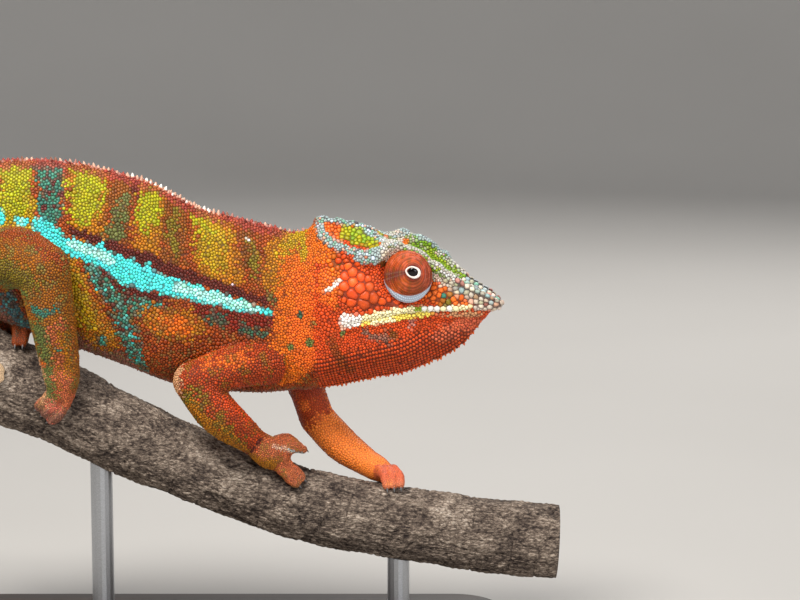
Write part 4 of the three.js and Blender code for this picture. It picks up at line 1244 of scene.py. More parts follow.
# The flank's marks, with single darker and greyer scales, teal ones of three kinds, and the crest's foot;
# `other` is a second random value of each scale.
def flankColour(p, wobble, other):
    x, y, z = p.T
    height = (z - bellyLine(x)) / (backLine(x) - bellyLine(x))
    colour = layMarks(plain("rust", len(p)), flankMarks, p, wobble)
    colour = blend(colour, "darkRed", 0.4 * smooth((other - 0.5) / 0.3) * smooth((0.75 - height) / 0.3))
    colour = blend(colour, "greyTeal", 0.45 * smooth((-other - 0.6) / 0.3) * smooth((0.6 - height) / 0.3))
    teal = smooth(1.3 - 9 * np.linalg.norm(colour - palette["teal"], axis=1))
    colour = blend(colour, "stripe", 0.5 * teal * (other > 0.5) * smooth((0.7 - height) / 0.1))
    colour = blend(colour, "maroon", 0.8 * teal * (other < -0.8))
    nearBack = smooth((3.6 + 0.9 * other + (z - backLine(x))) / 1.2)
    colour = blend(colour, "rose", 0.85 * nearBack * smooth((29 - x) / 6))
    colour = layMarks(colour, lineMarks, p, 0.5 * wobble)
    return blend(colour, "mauve", smooth((0.05 - height) / 0.06))


crestNames = ("frost", "frost", "mint", "frost", "frost", "ice", "frost", "slate", "blush", "mint", "frost",
              "mint")  # taken by chance


def headColour(p, wobble, other):
    x, y, z = p.T
    colour = layMarks(plain("red", len(p)), headMarks, p, 0.6 * wobble)
    onCrest = smooth(0.5 - (outsideCrests(p) + 0.35 * wander(p, 2.2) + 0.4 * other) / 0.8)
    pick = np.floor((0.5 + 0.4999 * wobble) * len(crestNames))
    for number, name in enumerate(crestNames):
        colour = blend(colour, name, (pick == number) * (x < 90.5) * onCrest)
    colour = blend(colour, "bone", 0.6 * onCrest * smooth((x - 60) / 4))
    return blend(colour, "rust", 0.35 * smooth((mouthLine(x) - z - 8) / 4) * (other > 0.3))


def tailColour(share, angle, wobble):
    bars = np.sin(2 * pi * share * 13 + 1.4 + 0.8 * wobble)
    colour = blend(plain("amber", len(share)), "rust", smooth(share * 3))
    colour = blend(colour, "tealDark", smooth(bars * 1.6 - 0.2))
    colour = blend(colour, "leaf", smooth(-bars * 2 - 0.9) * smooth((0.55 - share) / 0.3))
    return blend(colour, "darkRed", 0.5 * bell(((angle + 0.5) % 1 - 0.5) * 6, 0.5))


# Colours of each leg: upper and lower length, hand or foot, toes and patches, and the beige of its toe tips.
legColours = {
    "front_right": ("limbRed", "limbRed", "tan", "tan", "olive", 0.2),
    "front_left": ("limbRed", "peach", "peach", "coral", "peach", 0.3),
    "hind_right": ("umber", "umber", "umber", "pink", "sage", 0.1),
    "hind_left": ("darkRed", "rust", "rust", "rust", "tealDark", 0),
}


def legColour(name, p, kind, share, out, wobble):
    *lengths, patches, beige = legColours[name]
    colour = plain(lengths[0], len(p))
    for length, own in zip(("lower", "palm", "toe"), lengths[1:]):
        colour = np.where((kind == length)[:, None], palette[own], colour)
    colour = blend(colour, patches, 0.6 * smooth((wander(p, 3.0, 1.0) + 0.8 * wobble) * 1.4 - 0.5))
    colour = blend(colour, "beige", beige * smooth((share - 0.7) / 0.25) * (kind == "toe"))
    if name == "front_left":  # darker on its outer side and towards the chest
        # painted shade: darker red on the side facing away from the key lamp, and towards the chest, where
        # the body shades the arm
        colour = blend(colour, "limbRed", smooth(0.5 + 1.5 * out[:, 1]))
        colour = blend(colour, "darkRed", 0.8 * smooth((p[:, 2] - 94 + 2 * wobble) / 10))
    return layMarks(colour, legMarks.get(name, []), turned(p), 0.8 * wobble)


# The colour of each place: p straight, with its kind, leg, coordinates, outward direction, and a wobble
# that is random from scale to scale.
def markings(p, kind, leg, share, angle, out, wobble):
    other = np.sin(57 * wobble)
    flank, head = flankColour(p, wobble, other), headColour(p, wobble, other)
    colour = flank + (head - flank) * smooth((p[:, 0] - 36 + 1.2 * wobble) / 3)[:, None]
    colour = np.where((kind == "tail")[:, None], tailColour(share, angle, wobble), colour)
    limbed = (kind != "body") & (kind != "tail")
    for number, name in enumerate(legs):
        own = legColour(name, p, kind, share, out, wobble)
        colour = np.where(((leg == number) & limbed)[:, None], own, colour)
    return colour


skinColour = markings(straightened(skinVerts), vertKind, legOf[vertPart], vertShare, vertAngle, skinNormals,
                      np.zeros(len(skinVerts)))
seedWobble = rng.uniform(-1, 1, len(seeds))
seedColour = markings(straightSeeds, seedKind, legOf[seedPart], seedShare, seedAngle, seedNormal, seedWobble)
named = np.flatnonzero(fixedColour != "")
seedColour[named] = np.array([palette[fixedColour[i]] for i in named])
isFar, isPlate = legOf[seedPart] == 1, seedSize > scatter["plate"]  # the left arm is softer and more even
fromLips = np.abs(straightSeeds[:, 2] - mouthLine(straightSeeds[:, 0]) - 0.4)
onLips = (seedKind == "body") & (straightSeeds[:, 0] > 47) & (fromLips < 2.7)
even = np.where(isFar | onLips | (outsideCrests(straightSeeds) < 0.4), 0.4, 1.0)[:, None]
seedColour[isPlate] *= 1.06
shade, hue = rng.uniform(-0.38, 0.22, (len(seeds), 1)), rng.uniform(-0.08, 0.08, (len(seeds), 3))
seedColour *= 1 + even * (shade + hue)


# The colour between scales and at their rims: darker, as painted shade in the grooves, and part of the way
# to a deep rust, the skin's own colour there.
def shadedGrooveColour(colour):
    return 0.36 * colour + 0.4 * palette["groove"]


def skinMaterial():
    look = Shader("chameleon_skin", Roughness=0.6, Specular_IOR_Level=0.4)
    grain = look.cells(0.55)
    # painted shade: darker towards the edges of the fine granules, where the bump sinks, and lighter on
    # their middles
    colour = look.scaled(look.attribute("tint"), 1.15 - grain * 0.7)
    return look.paint(colour, roughness=0.55 + look.noise(2.0) * 0.15, bump=1 - grain, depth=0.12)


def scaleMaterial():
    look = Shader("chameleon_scales", Roughness=0.4, Specular_IOR_Level=0.32)
    colour = look.scaled(look.attribute("tint"), 0.86 + look.noise(0.5, 2) * 0.34)
    return look.paint(colour, roughness=0.32 + look.noise(2.5) * 0.2, bump=look.noise(0.22, 2), depth=0.04)


skin = newPiece("skin", skinVerts, *outward(skinVerts, skinFaces))
# The skin shows only between the scales: it takes the grooves' painted shade, with more painted shade under
# the chin between the throat's rows, and on the left arm it stays nearer its own colour.
x, z = skinVerts[:, :1], skinVerts[:, 2:]
chinShade = smooth((mouthLine(x) - z - 7) / 2) * smooth((x - 36) / 4)
skinTint = shadedGrooveColour(skinColour) * (1 - 0.25 * chinShade)
skinTint = np.where((legOf[vertPart] == 1)[:, None], 0.2 * skinTint + 0.7 * skinColour, skinTint)
paintPoints(skin, "tint", np.clip(skinTint, 0, 1))
fleshNodes = [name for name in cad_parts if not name.startswith(("claw", "perch", "stand", "eye"))]
handOver(skin, "skin", skinMaterial(), *fleshNodes)
print("skin painted over", len(fleshNodes), "solids")

scale = {
    # heights in shares of the scale's size, and a factor for the left arm's
    "height": {"body": 0.35, "tail": 0.33, "upper": 0.4, "lower": 0.37, "palm": 0.24, "toe": 0.2},
    "plateHeight": 0.17, "farHeight": 0.5,
    "foot": -0.12,  # how deep the lowest ring lies under the skin
    "plate": [(1, 0), (0.86, 0.6), (0.5, 0.92)],  # rings: shares of the way to the edge and of the height
    "dome": [(1, 0), (0.7, 0.68)],
    "tones": (0.95, 1.1, (1.28, 1.26, 1.15)),  # painted shade on the second ring, painted light on all above it, and a lighter, warmer painted highlight on the top alone: factors on their colours
    "patch": 0.0015,  # radius of a scale's place on the unwrap
}
seedHeight = seedSize * np.array([scale["height"][kind] for kind in kinds])[seedPart]
seedHeight = seedHeight * rng.uniform(0.8, 1.2, len(seeds))
seedHeight = np.where(isPlate, scale["plateHeight"] * seedSize, seedHeight)
seedHeight[isFar] *= scale["farHeight"]
seedHeight[:len(fixedHeight)] = fixedHeight


# How far each scale reaches in a number of directions: to the line halfway to its neighbours, nearer to the
# smaller of the two, and no further than its cap.
def cellReach(directions):
    i, j, apart = nearPairs(seeds, seedSize * 1.7)
    first = unit(np.cross(seedNormal, np.array([0.3, 0.2, 1.0])))
    second = np.cross(seedNormal, first)
    away = seeds[j] - seeds[i]
    u, v = (away * first[i]).sum(1), (away * second[i]).sum(1)
    flat = np.hypot(u, v) + 1e-6
    border = flat / 2 + (seedSize[i] ** 2 - seedSize[j] ** 2) / 8 / flat
    reach = np.repeat((seedCap * seedSize)[:, None], directions, 1)
    for k in range(directions):
        angle = 2 * pi * k / directions
        toward = (u * cos(angle) + v * sin(angle)) / flat
        near = toward > 0.25
        column = reach[:, k].copy()
        np.minimum.at(column, i[near], border[near] / toward[near])
        reach[:, k] = column
    return np.maximum(reach, 0.22 * seedSize[:, None]), first, second


# The place of each root on an unwrap of the skin: across by the share along its part, up by the angle
# round it, with the parts of a piece above one another.
def unwrapped(chosen):
    part, share, angle = seedPart[chosen], seedShare[chosen], seedAngle[chosen]
    across = np.zeros(len(part))
    present = np.unique(part)
    for number in present:
        here = part == number
        across[here] = (share[here] - share[here].min()) / max(np.ptp(share[here]), 1e-6)
    row = np.searchsorted(present, part)
    return np.stack([0.01 + 0.98 * across, (row + 0.02 + 0.96 * angle) / len(present)], -1)


# Domed scales for the chosen roots: rings in `directions` corners, each a share of the way to the scale's
# edge at a share of its height, and a top.
def scalePiece(name, chosen, rings, directions):
    reach, first, second = (each[chosen] for each in cellReachOf[directions])
    root, normal, tall = seeds[chosen], seedNormal[chosen], seedHeight[chosen]
    angle = 2 * pi * np.arange(directions) / directions
    flat = first[:, None] * np.cos(angle)[:, None] + second[:, None] * np.sin(angle)[:, None]
    levels = [root[:, None] + flat * (reach * outwards)[..., None]
              + normal[:, None] * np.reshape(lift * tall if lift else scale["foot"], (-1, 1, 1))
              for outwards, lift in rings]
    verts = np.concatenate([*levels, (root + normal * tall[:, None])[:, None]], 1)
    piece = newPiece(name, verts.reshape(-1, 3), *manyFaces(len(root), len(rings), directions))
    own = np.repeat(seedColour[chosen][:, None], verts.shape[1], 1)
    # The foot ring takes the grooves' painted shade, less of it on the left arm and the lips. The rings
    # above take painted shade and light, and the top takes a painted highlight.
    smoother = np.where(isFar, 0.85, 0.6 * onLips)[chosen][:, None, None]
    own[:, :directions] += (shadedGrooveColour(own[:, :directions]) - own[:, :directions]) * (1 - smoother)
    rim, upper, top = scale["tones"]
    own[:, directions:2 * directions] *= rim
    own[:, 2 * directions:] *= upper
    own[:, -1] *= top
    paintPoints(piece, "tint", np.clip(own.reshape(-1, 3), 0, 1))
    spread = np.append(np.repeat([outwards for outwards, _ in rings], directions), 0)
    angle = np.append(np.tile(angle, len(rings)), 0)
    patch = scale["patch"] * np.stack([spread * np.cos(angle), spread * np.sin(angle)], -1)
    setUv(piece, (unwrapped(chosen)[:, None] + patch).reshape(-1, 2))
    handOver(piece, "skin", scaleFinish)
    print(name, len(chosen), "scales,", len(piece.data.polygons), "faces")


def makeScales():
    head = (seedKind == "body") & (straightSeeds[:, 0] > 35)
    trunk = (seedKind == "body") & ~head
    right, front = straightSeeds[:, 1] < 0, straightSeeds[:, 0] > -42
    limbed = (seedKind != "body") & (seedKind != "tail")
    plate, dome = scale["plate"], scale["dome"]
    for name, chosen, rings, directions in (
            ("head_right", head & right, plate, 10), ("head_left", head & ~right, plate, 8),
            ("shoulder_right", trunk & right & front, plate, 8),
            ("shoulder_left", trunk & ~right & front, dome, 8),
            ("flank_right", trunk & right & ~front, plate, 8),
            ("flank_left", trunk & ~right & ~front, dome, 8),
            ("tail", seedKind == "tail", dome, 7),
            *((leg, limbed & (legOf[seedPart] == number), dome, 7) for number, leg in enumerate(legs))):
        scalePiece("scales_" + name, np.flatnonzero(chosen), rings, directions)


scaleFinish = scaleMaterial()
cellReachOf = {count: cellReach(count) for count in (7, 8, 10)}
makeScales()

# Eyes: a turret of fused lids with rings of fine granules, a pale lid round the opening, and the eyeball.
turret = {
    "rings": 26, "granules": 62, "granuleHeight": 0.11, "folds": 5, "foldHeight": 0.16,
    "aim": (2.0, 3.1),  # how far forwards and up the opening looks from the turret's middle
    "lid": {"radius": 2.02, "width": 0.42, "height": 7.25, "thickness": 0.55},
    "ball": {"radius": 1.95, "height": 6.95, "depth": 1.0, "squash": 0.88, "until": 2.2},
}


# From the turret's own frame (forwards, up, outwards) to the animal's, for the right (-1) or left (1) eye.
def eyeFrame(forwards, up, outwards, side):
    turn = radians(eye["turnForward"]) * side * -1
    x, y = forwards, side * outwards
    return turned(np.stack([eye["x"] + x * cos(turn) - y * sin(turn),
                            side * eye["y"] + x * sin(turn) + y * cos(turn), eye["z"] + up], -1))


# The turret's surface: share along the profile by angle round it. The middle drifts towards where the eye
# looks as the square of the height, and granules are a product of two waves.
def turretSurface(share, angle):
    profile = np.array(eye["profile"], float)
    run = runLengths(profile)
    radius, height = (rowsAlong(run, profile[:, a], share * run[-1]) for a in (0, 1))
    rise = np.clip(height / profile[-1, 1], 0, 1) ** 2
    middle = [aim * rise for aim in turret["aim"]]
    between = pi / 2 * np.floor(turret["rings"] * share)  # granules lie between those of the next ring
    wave = np.abs(np.sin(pi * turret["rings"] * share)) * (
        0.35 + 0.65 * np.abs(np.sin(turret["granules"] / 2 * angle + between)))
    folds = turret["foldHeight"] * np.sin(2 * pi * turret["folds"] * share) * smooth((share - 0.3) / 0.2)
    swell = turret["granuleHeight"] * wave + folds
    grown = radius * (1 + swell / np.maximum(radius, 2.5))
    forwards, up = grown * np.cos(angle), grown * np.sin(angle) * eye["tallness"]
    return middle[0] + forwards, middle[1] + up, height, swell, wave, np.arctan2(up, forwards)


def makeTurret(name, side, solid):
    share = np.concatenate([[0.0], np.linspace(0.28, 1, 126)])[:, None]
    angle = np.linspace(0, 2 * pi, 310, endpoint=False)
    forwards, up, height, swell, wave, band = turretSurface(share, angle)
    height = height + 0 * up
    rings = eyeFrame(forwards, up, height + swell * smooth((share - 0.4) / 0.4) - 0.15, side)
    made = newPiece(name, *closedShell(rings))
    lines = 0.5 + 0.5 * np.sin(2 * pi * 13 * share)
    crescent = smooth((np.hypot(forwards - 0.3, up - 4.4) - 10.2) / 0.5)
    mottled = wander(np.stack([forwards, up, height], -1), 1.1, 2.0)
    rear = pi - np.abs(band)
    tones = {
        "flame": 0.5 * bell(band - 1.9, 1.1) * smooth((share - 0.4) / 0.2),
        "orange": 0.6 * bell(band + 2.3, 0.5) * smooth((share - 0.5) / 0.1),
        "maroon": 0.8 * bell(np.sin(2 * pi * 11 * share + 1) + 1, 0.7) * (0.65 + 0.35 * np.cos(band)),
        "pink": 0.55 * lines**2 * bell(band, 1.1) * smooth((share - 0.35) / 0.1),
        "coral": 0.6 * smooth(2.2 * mottled - 0.5),
        "rust": 0.75 * bell(band + 1.2, 0.6) * smooth((share - 0.62) / 0.1 + 0.8 * mottled),
        "plum": 0.85 * bell(rear, 0.36) * smooth((share - 0.4) / 0.2 + 0.8 * mottled),
        "brown": 0.6 * smooth(-2.4 * mottled - 0.7) * smooth((share - 0.3) / 0.1),
        "mauve": 0.7 * bell(rear - 0.12, 0.05) * smooth((share - 0.5) / 0.2),
        "ice": crescent,
        "slate": 0.45 * crescent * lines**3 * smooth((0.66 - share) / 0.04),
        "darkRed": 0.8 * smooth((share - 0.97) / 0.02),
    }
    colour = 0.75 * plain("red", up.size)
    for tone, amount in tones.items():
        colour = blend(colour, tone, np.broadcast_to(amount, up.shape).ravel())
    # painted shade in the hollows between the granules, and painted light on their tops
    colour = colour * (0.55 + 0.6 * wave.ravel()[:, None])
    paintPoints(made, "tint", np.vstack([colour, colour[:1], colour[-1:]]))
    handOver(made, "eye", turretFinish, solid)


# The eyeball's front: rings of radius sin and height cos, round a middle in the turret's frame.
def makeBall(name, side):
    ball = turret["ball"]
    polar = np.linspace(0.02, ball["until"], 26)[:, None]
    angle = np.linspace(0, 2 * pi, 48, endpoint=False)
    flat = ball["radius"] * np.sin(polar) * np.cos(angle)
    up = ball["radius"] * np.sin(polar) * np.sin(angle) * ball["squash"]
    rings = eyeFrame(turret["aim"][0] + flat, turret["aim"][1] + up,
                     ball["height"] + ball["depth"] * np.cos(polar) + 0 * flat, side)
    handOver(newPiece(name, *closedShell(rings)), "eye", ballFinish)


# The pale lid: a circle carried round the opening. Its middle is an oval that leans back and up, with a
# point at the rear.
def makeLid(name, side):
    lid = turret["lid"]
    angle = np.linspace(0, 2 * pi, 96, endpoint=False)[:, None]
    tube = np.linspace(0, 2 * pi, 14, endpoint=False)
    middle = lid["radius"] * (1 + 0.13 * np.cos(2 * (angle - 2.8)) + 0.1 * bell(angle - 2.9, 0.3))
    thick = lid["width"] * (1 + 0.3 * np.cos(angle + 0.7))
    radius = middle + thick * np.cos(tube)
    grid = eyeFrame(turret["aim"][0] + radius * np.cos(angle), turret["aim"][1] + radius * np.sin(angle),
                    lid["height"] + lid["thickness"] * thick * np.sin(tube), side)
    handOver(newPiece(name, *closedLoop(grid)), "eye", lidFinish)


def turretMaterial():
    look = Shader("turret_skin", Roughness=0.5, Specular_IOR_Level=0.45)
    colour = look.scaled(look.attribute("tint"), 0.9 + look.noise(0.5) * 0.25)
    return look.paint(colour, roughness=0.45 + look.noise(1.5) * 0.15, bump=look.noise(0.2, 2), depth=0.04)


def eyeballMaterial():
    look = Shader("eyeball", Roughness=0.12, Specular_IOR_Level=0.25, Coat_Weight=0.15, Coat_Roughness=0.03)
    return look.paint(look.ramp(look.noise(0.6), [(0.35, srgb(4, 3, 3)), (0.75, srgb(20, 13, 10))]))


def lidMaterial():
    look = Shader("eye_lid", Roughness=0.4, Coat_Weight=0.25)
    return look.paint(look.ramp(look.noise(0.4), [(0.3, srgb(240, 216, 196)), (0.6, srgb(252, 246, 240))]),
                      roughness=0.35 + look.noise(0.5) * 0.2)


turretFinish, ballFinish, lidFinish = turretMaterial(), eyeballMaterial(), lidMaterial()
for name, side in (("right", -1), ("left", 1)):
    makeTurret(f"eye_turret_{name}", side, f"eye_{name}")
    makeBall(f"eyeball_{name}", side)
    makeLid(f"eyelid_{name}", side)
print("eyes")

# Crests of blunt pointed scales, and claws: small cones set along lines, each leaning along its line.
spines = {
    "back": {"from": -97, "to": 33, "pitch": 1.7, "height": 1.25, "radius": 0.8, "lean": -0.15},
    "back side": {"from": -96, "to": 30, "pitch": 1.6, "height": 0.8, "radius": 0.72, "lean": -0.1},
    "throat": {"from": 44, "to": 96, "pitch": 1.6, "height": 0.85, "radius": 0.6, "lean": -0.2},
    "belly": {"from": -60, "to": 42, "pitch": 1.6, "height": 0.7, "radius": 0.55, "lean": -0.15},
    "tail": {"from": 0.03, "to": 0.5, "pitch": 1.8, "height": 0.8, "radius": 0.7, "lean": -0.2},
}


# Curved cones: rings whose radius falls as the share of the length to a power, along a line that bends
# from the direction towards the bend. The number of each cone's vertices comes last.
def cones(roots, directions, bends, lengths, radii, power, rings=5, around=8):
    share = np.linspace(0, 0.97, rings)[None, :, None]
    lengths = lengths[:, None]
    centre = (roots[:, None] + directions[:, None] * share * lengths[..., None]
              + bends[:, None] * share**2 * lengths[..., None])
    first = unit(np.cross(directions, bends + np.array([0.13, 0.29, 0.05])))
    second = np.cross(directions, first)
    width = radii[:, None, None, None] * ((1 - share) ** power)[..., None]
    angle = np.linspace(0, 2 * pi, around, endpoint=False)[:, None]
    across = (first[:, None] * np.cos(angle) + second[:, None] * np.sin(angle))[:, None]
    ends = np.stack([roots + directions * lengths + bends * lengths, roots - 0.2 * directions], 1)
    verts = np.concatenate([(centre[:, :, None] + width * across).reshape(len(roots), -1, 3), ends], 1)
    return verts.reshape(-1, 3), *manyFaces(len(roots), rings, around, True), verts.shape[1]


def crestPiece(name, roots, directions, forwards, settings, colours):
    count = len(roots)
    roots, _ = onSkin(roots)
    lengths = settings["height"] * rng.uniform(0.75, 1.2, count)
    lean = forwards * settings["lean"] + rng.normal(0, 0.05, (count, 3))
    *shapes, perCone = cones(roots - 0.25 * directions, unit(directions + 0.3 * lean), lean, lengths + 0.25,
                             settings["radius"] * rng.uniform(0.9, 1.1, count), 0.55)
    made = newPiece(name, *shapes)
    colour = np.array([palette[name] for name in colours]) * rng.uniform(0.85, 1.15, (count, 1))
    paintPoints(made, "tint", np.repeat(colour, perCone, 0))
    row = np.repeat(np.stack([np.linspace(0.02, 0.98, count), np.full(count, 0.5)], -1), perCone, 0)
    within = np.tile(np.linspace(0, 1, perCone), count) * 2 * pi
    setUv(made, row + scale["patch"] * np.stack([np.cos(within), np.sin(within)], -1))
    handOver(made, "skin", scaleFinish)


# A crest along the body at a step down its side, on the sides asked for; `pale` gives the runs of x where
# its scales are whitish.
def bodyCrest(name, settings, step, sides, colours, pale=()):
    x = np.tile(np.arange(settings["from"], settings["to"], settings["pitch"]), len(sides))
    side = np.repeat(sides, len(x) // len(sides))
    x = x + rng.uniform(-0.2, 0.2, len(x))
    edge = [onBody(x + dx, np.full(len(x), float(step)), side) for dx in (-0.5, 0.5)]
    forwards = np.einsum("nij,nj->ni", turnMatrices(x), unit(edge[1] - edge[0]))
    roots = turned((edge[0] + edge[1]) / 2)
    _, directions = onSkin(roots)
    picks = rng.integers(0, len(colours), len(x))
    whitish = sum((x > low) & (x < high) for low, high in pale) + 0 * picks
    names = [("blush", "blush", "white")[pick % 3] if light else colours[pick]
             for pick, light in zip(picks, whitish)]
    crestPiece(name, roots, directions, forwards, settings, names)


def tailCrest(name, settings, colours):
    pitch = settings["pitch"] / runLengths(tailPath())[-1]
    shares = np.arange(settings["from"], settings["to"], pitch)
    centre, heading, out = onTailPath(shares)
    names = [colours[i] for i in rng.integers(0, len(colours), len(shares))]
    crestPiece(name, centre + out * tail["halfHeight"](shares)[:, None], out, -heading, settings, names)


paleRuns = ((-44, -37), (-31, 2))
bodyCrest("crest_back", spines["back"], 0, [1], ("rose", "dusty", "rose", "mauve", "blush"), paleRuns)
bodyCrest("crest_back_side", spines["back side"], 0.55, [-1, 1], ("rose", "rose", "dusty", "maroon"),
          paleRuns[1:])
bodyCrest("crest_throat", spines["throat"], 12, [1], ("flame", "red", "coral", "orange"))
bodyCrest("crest_belly", spines["belly"], 12, [1], ("rust", "darkRed", "beige", "rust"))
tailCrest("crest_tail", spines["tail"], ("blush", "rust", "coral", "pink"))
print("crests")

claw = {"length": 1.7, "radius": 0.46, "hook": 0.4, "rings": 9, "around": 12}


def clawMaterial():
    look = Shader("claw_horn", Roughness=0.3, Coat_Weight=0.3)
    colour = look.scaled(look.attribute("tint"), 0.75 + look.noise(0.8, 2) * 0.4)
    return look.paint(colour, roughness=0.25 + look.noise(0.7) * 0.2)


def makeClaws():
    roots, directions, outs = [], [], []
    for leg in legs.values():
        for count, stations in (leg["outer"], leg["inner"]):
            centre, heading, out, across = (v[-1] for v in bundleFrame(leg, stations, np.array([0.5, 1.0])))
            halfWidth = count * leg["toeWidth"] * float(toe["spread"](1.0)) / 2
            for number in range(count):
                beside = across * halfWidth * ((2 * number + 1) / count - 1)
                roots.append(centre + beside - 0.2 * heading + 0.25 * out)
                directions.append(unit(heading + 0.12 * out))
                outs.append(out)
    count, rings, around = len(roots), claw["rings"], claw["around"]
    *shapes, _ = cones(np.array(roots), np.array(directions), -claw["hook"] * np.array(outs),
                       np.full(count, claw["length"]), np.full(count, claw["radius"]), 0.7, rings, around)
    made = newPiece("claws", *shapes)
    dark = smooth(2 * np.append(np.repeat(np.linspace(0, 1, rings), around), [1.0, 0.0]))
    paintPoints(made, "tint", blend(plain("mauve", len(dark) * count), "slate", np.tile(dark, count)))
    handOver(made, "claw", clawMaterial(), *[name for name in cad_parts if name.startswith("claw")])


makeClaws()
print("claws")


# The perch: places and angles round it on a grid, with cracks along it, knots, a stub and sawn ends.
bark = {
    "knots": [(-58, 20, 5, 0.8), (4, 60, 6, 1.0), (84, 40, 6, 1.1), (100, -70, 6, 1.2), (-20, -80, 6, 1.1),
              (60, -120, 5, 1.1)],  # x, angle, size, height
    "cracks": 13, "crackDepth": 0.6, "fineDepth": 0.4, "ringDepth": 0.5,
    "sawnRings": (0.05, 0.5, 0.94),  # of a sawn end, in shares of its radius
    "most": 0.9,  # nothing rises further than this
}


def besidePlace(x, angle, place, at):  # the distance along the bark from a place and angle
    return np.hypot(x - place, ((angle - at + 180) % 360 - 180) / 57.3 * perch["radius"](x))


def barkRelief(x, angle):
    turn = np.radians(angle)
    radius = perch["radius"](x)
    p = np.stack([x, radius * np.cos(turn), radius * np.sin(turn)], -1)
    lift = 0.35 * wander(p * [0.35, 1, 1], 4.0) + 0.3 * wander(p * [0.3, 1, 1], 1.8, 2)
    bend = 0.9 * wander(p * [0.4, 1, 1], 3.4, 1) + 0.02 * x
    crack = 1 - smooth(np.abs(np.sin(angle / 360 * 2 * pi * bark["cracks"] + bend)) / 0.2)
    lift = lift - bark["crackDepth"] * crack * smooth(wander(p * [0.3, 1, 1], 5.0, 4) * 2 + 0.3)
    fine = np.abs(wander(p * [0.3, 1, 1], 1.1, 5))
    lift = lift - bark["fineDepth"] * (1 - smooth(fine / 0.25)) + 0.2 * wander(p * [0.7, 1, 1], 0.8, 6)
    lift = lift - bark["ringDepth"] * bell(wander(p * [1, 0.4, 0.4], 9.0, 3), 0.03)
    for place, at, size, tall in bark["knots"]:
        away = besidePlace(x, angle, place, at)
        lift = lift + tall * bell(away, size) - 0.8 * tall * bell(away, size * 0.35)
    return lift - 0.3


def paintBark(made, depth, sawn, across, ends):  # values for each place, and those of the two end middles
    tone = np.stack([depth, sawn, across], -1).reshape(-1, 3)
    paintPoints(made, "bark", np.vstack([tone, ends]))


def makePerch():
    start, end = perch["ends"]
    x = np.linspace(start, end, int((end - start) / perch["grain"]) + 1)
    angle = np.linspace(0, 360, perch["around"], endpoint=False)
    x, angle = np.meshgrid(x, angle, indexing="ij")
    stub = perch["stub"]
    fromStub = np.maximum(besidePlace(x, angle, stub["x"], stub["angle"]) - stub["radius"], 0)
    lift = barkRelief(x, angle) + 1.6 * bell(fromStub, 2.4)
    rim = smooth(np.minimum(x - start, end - x) / 1.2)
    lift = np.minimum(lift, bark["most"]) * rim - 0.5 * (1 - rim)
    rings = onPerch(x, angle, lift)
    sawn = np.array(bark["sawnRings"])[:, None]
    inner, outer = (ring.mean(0) + (ring - ring.mean(0)) * sawn[..., None] for ring in (rings[0], rings[-1]))
    made = newPiece("perch_bark", *closedShell(np.concatenate([inner, rings, outer[::-1]])))
    depth, isSawn = (np.pad(values, ((len(sawn), len(sawn)), (0, 0)), constant_values=value)
                     for values, value in ((lift, 0), (0 * lift, 1)))
    across = np.zeros_like(depth)
    across[:len(sawn)], across[-len(sawn):] = sawn, sawn[::-1]
    paintBark(made, np.clip(0.5 + 0.35 * depth, 0, 1), isSawn, across, [[0.5, 1, 0], [0.5, 1, 0]])
    handOver(made, "bark", barkFinish, "perch")


def makeStub():
    stub = perch["stub"]
    root, tip = (onPerch(stub["x"], stub["angle"], lift) for lift in stub["lifts"])
    axis = unit(tip - root)
    first = unit(np.cross(axis, [1.0, 0, 0]))
    second = np.cross(axis, first)
    angle = np.linspace(0, 2 * pi, 72, endpoint=False)
    share = np.append(np.linspace(0, 0.97, 24), [1.0, 1.0, 1.0, 1.0])
    across = np.append(np.linspace(1.0, 0.98, 24), [0.93, 0.6, 0.3, 0.05])[:, None]
    wobble = 1 + 0.05 * np.sin(5 * angle) + 0.03 * np.sin(9 * angle + 1)
    flat = first * np.cos(angle)[:, None] + second * np.sin(angle)[:, None]
    rings = (root + axis * (share * np.linalg.norm(tip - root))[:, None, None]
             + flat * (across * stub["radius"] * wobble)[..., None])
    made = newPiece("perch_stub", *closedShell(rings))
    across = across + 0 * angle
    isSawn = np.arange(len(share))[:, None] >= 24
    paintBark(made, 0 * across + 0.45, isSawn + 0 * across, across, [[0.5, 0, 0], [0.5, 1, 0]])
    handOver(made, "bark", barkFinish)


def barkMaterial():
    look = Shader("bark", Roughness=0.85, Specular_IOR_Level=0.25)
    depth, sawn, across = look.split(look.attribute("bark"))
    streak = look.noise(0.75, 5, (0.4, 1, 1), 0.8)
    patch = look.noise(4.0, 5, (0.5, 1, 1), 0.7)
    cracks = look.cells(1.2, "DISTANCE_TO_EDGE", (0.35, 1, 1))
    level = depth * 0.6 + streak * 1.9 + patch * 0.6 - 1.06
    surface = look.ramp(level, [
        (0.14, srgb(38, 30, 28)), (0.32, srgb(84, 72, 64)), (0.5, srgb(128, 113, 100)),
        (0.68, srgb(170, 154, 138)), (0.88, srgb(206, 192, 178))])
    surface = look.mix((0.08 - cracks).atLeast(0.0) * 8.0, surface, srgb(52, 43, 38))
    rings = (across * 46.0 + look.noise(3.0) * 5.0).sine() * 0.5 + 0.5
    wood = look.ramp(rings, [(0.2, srgb(168, 138, 106)), (0.8, srgb(198, 170, 136))])
    grain = look.noise(0.7, 5, (0.4, 1, 1), 0.65) + cracks.atMost(0.2) * 2.0
    roughness = 0.8 + look.noise(2.0) * 0.15
    return look.paint(look.mix(sawn, surface, wood), roughness, bump=grain, depth=0.35)


barkFinish = barkMaterial()
makePerch()
makeStub()
print("perch")

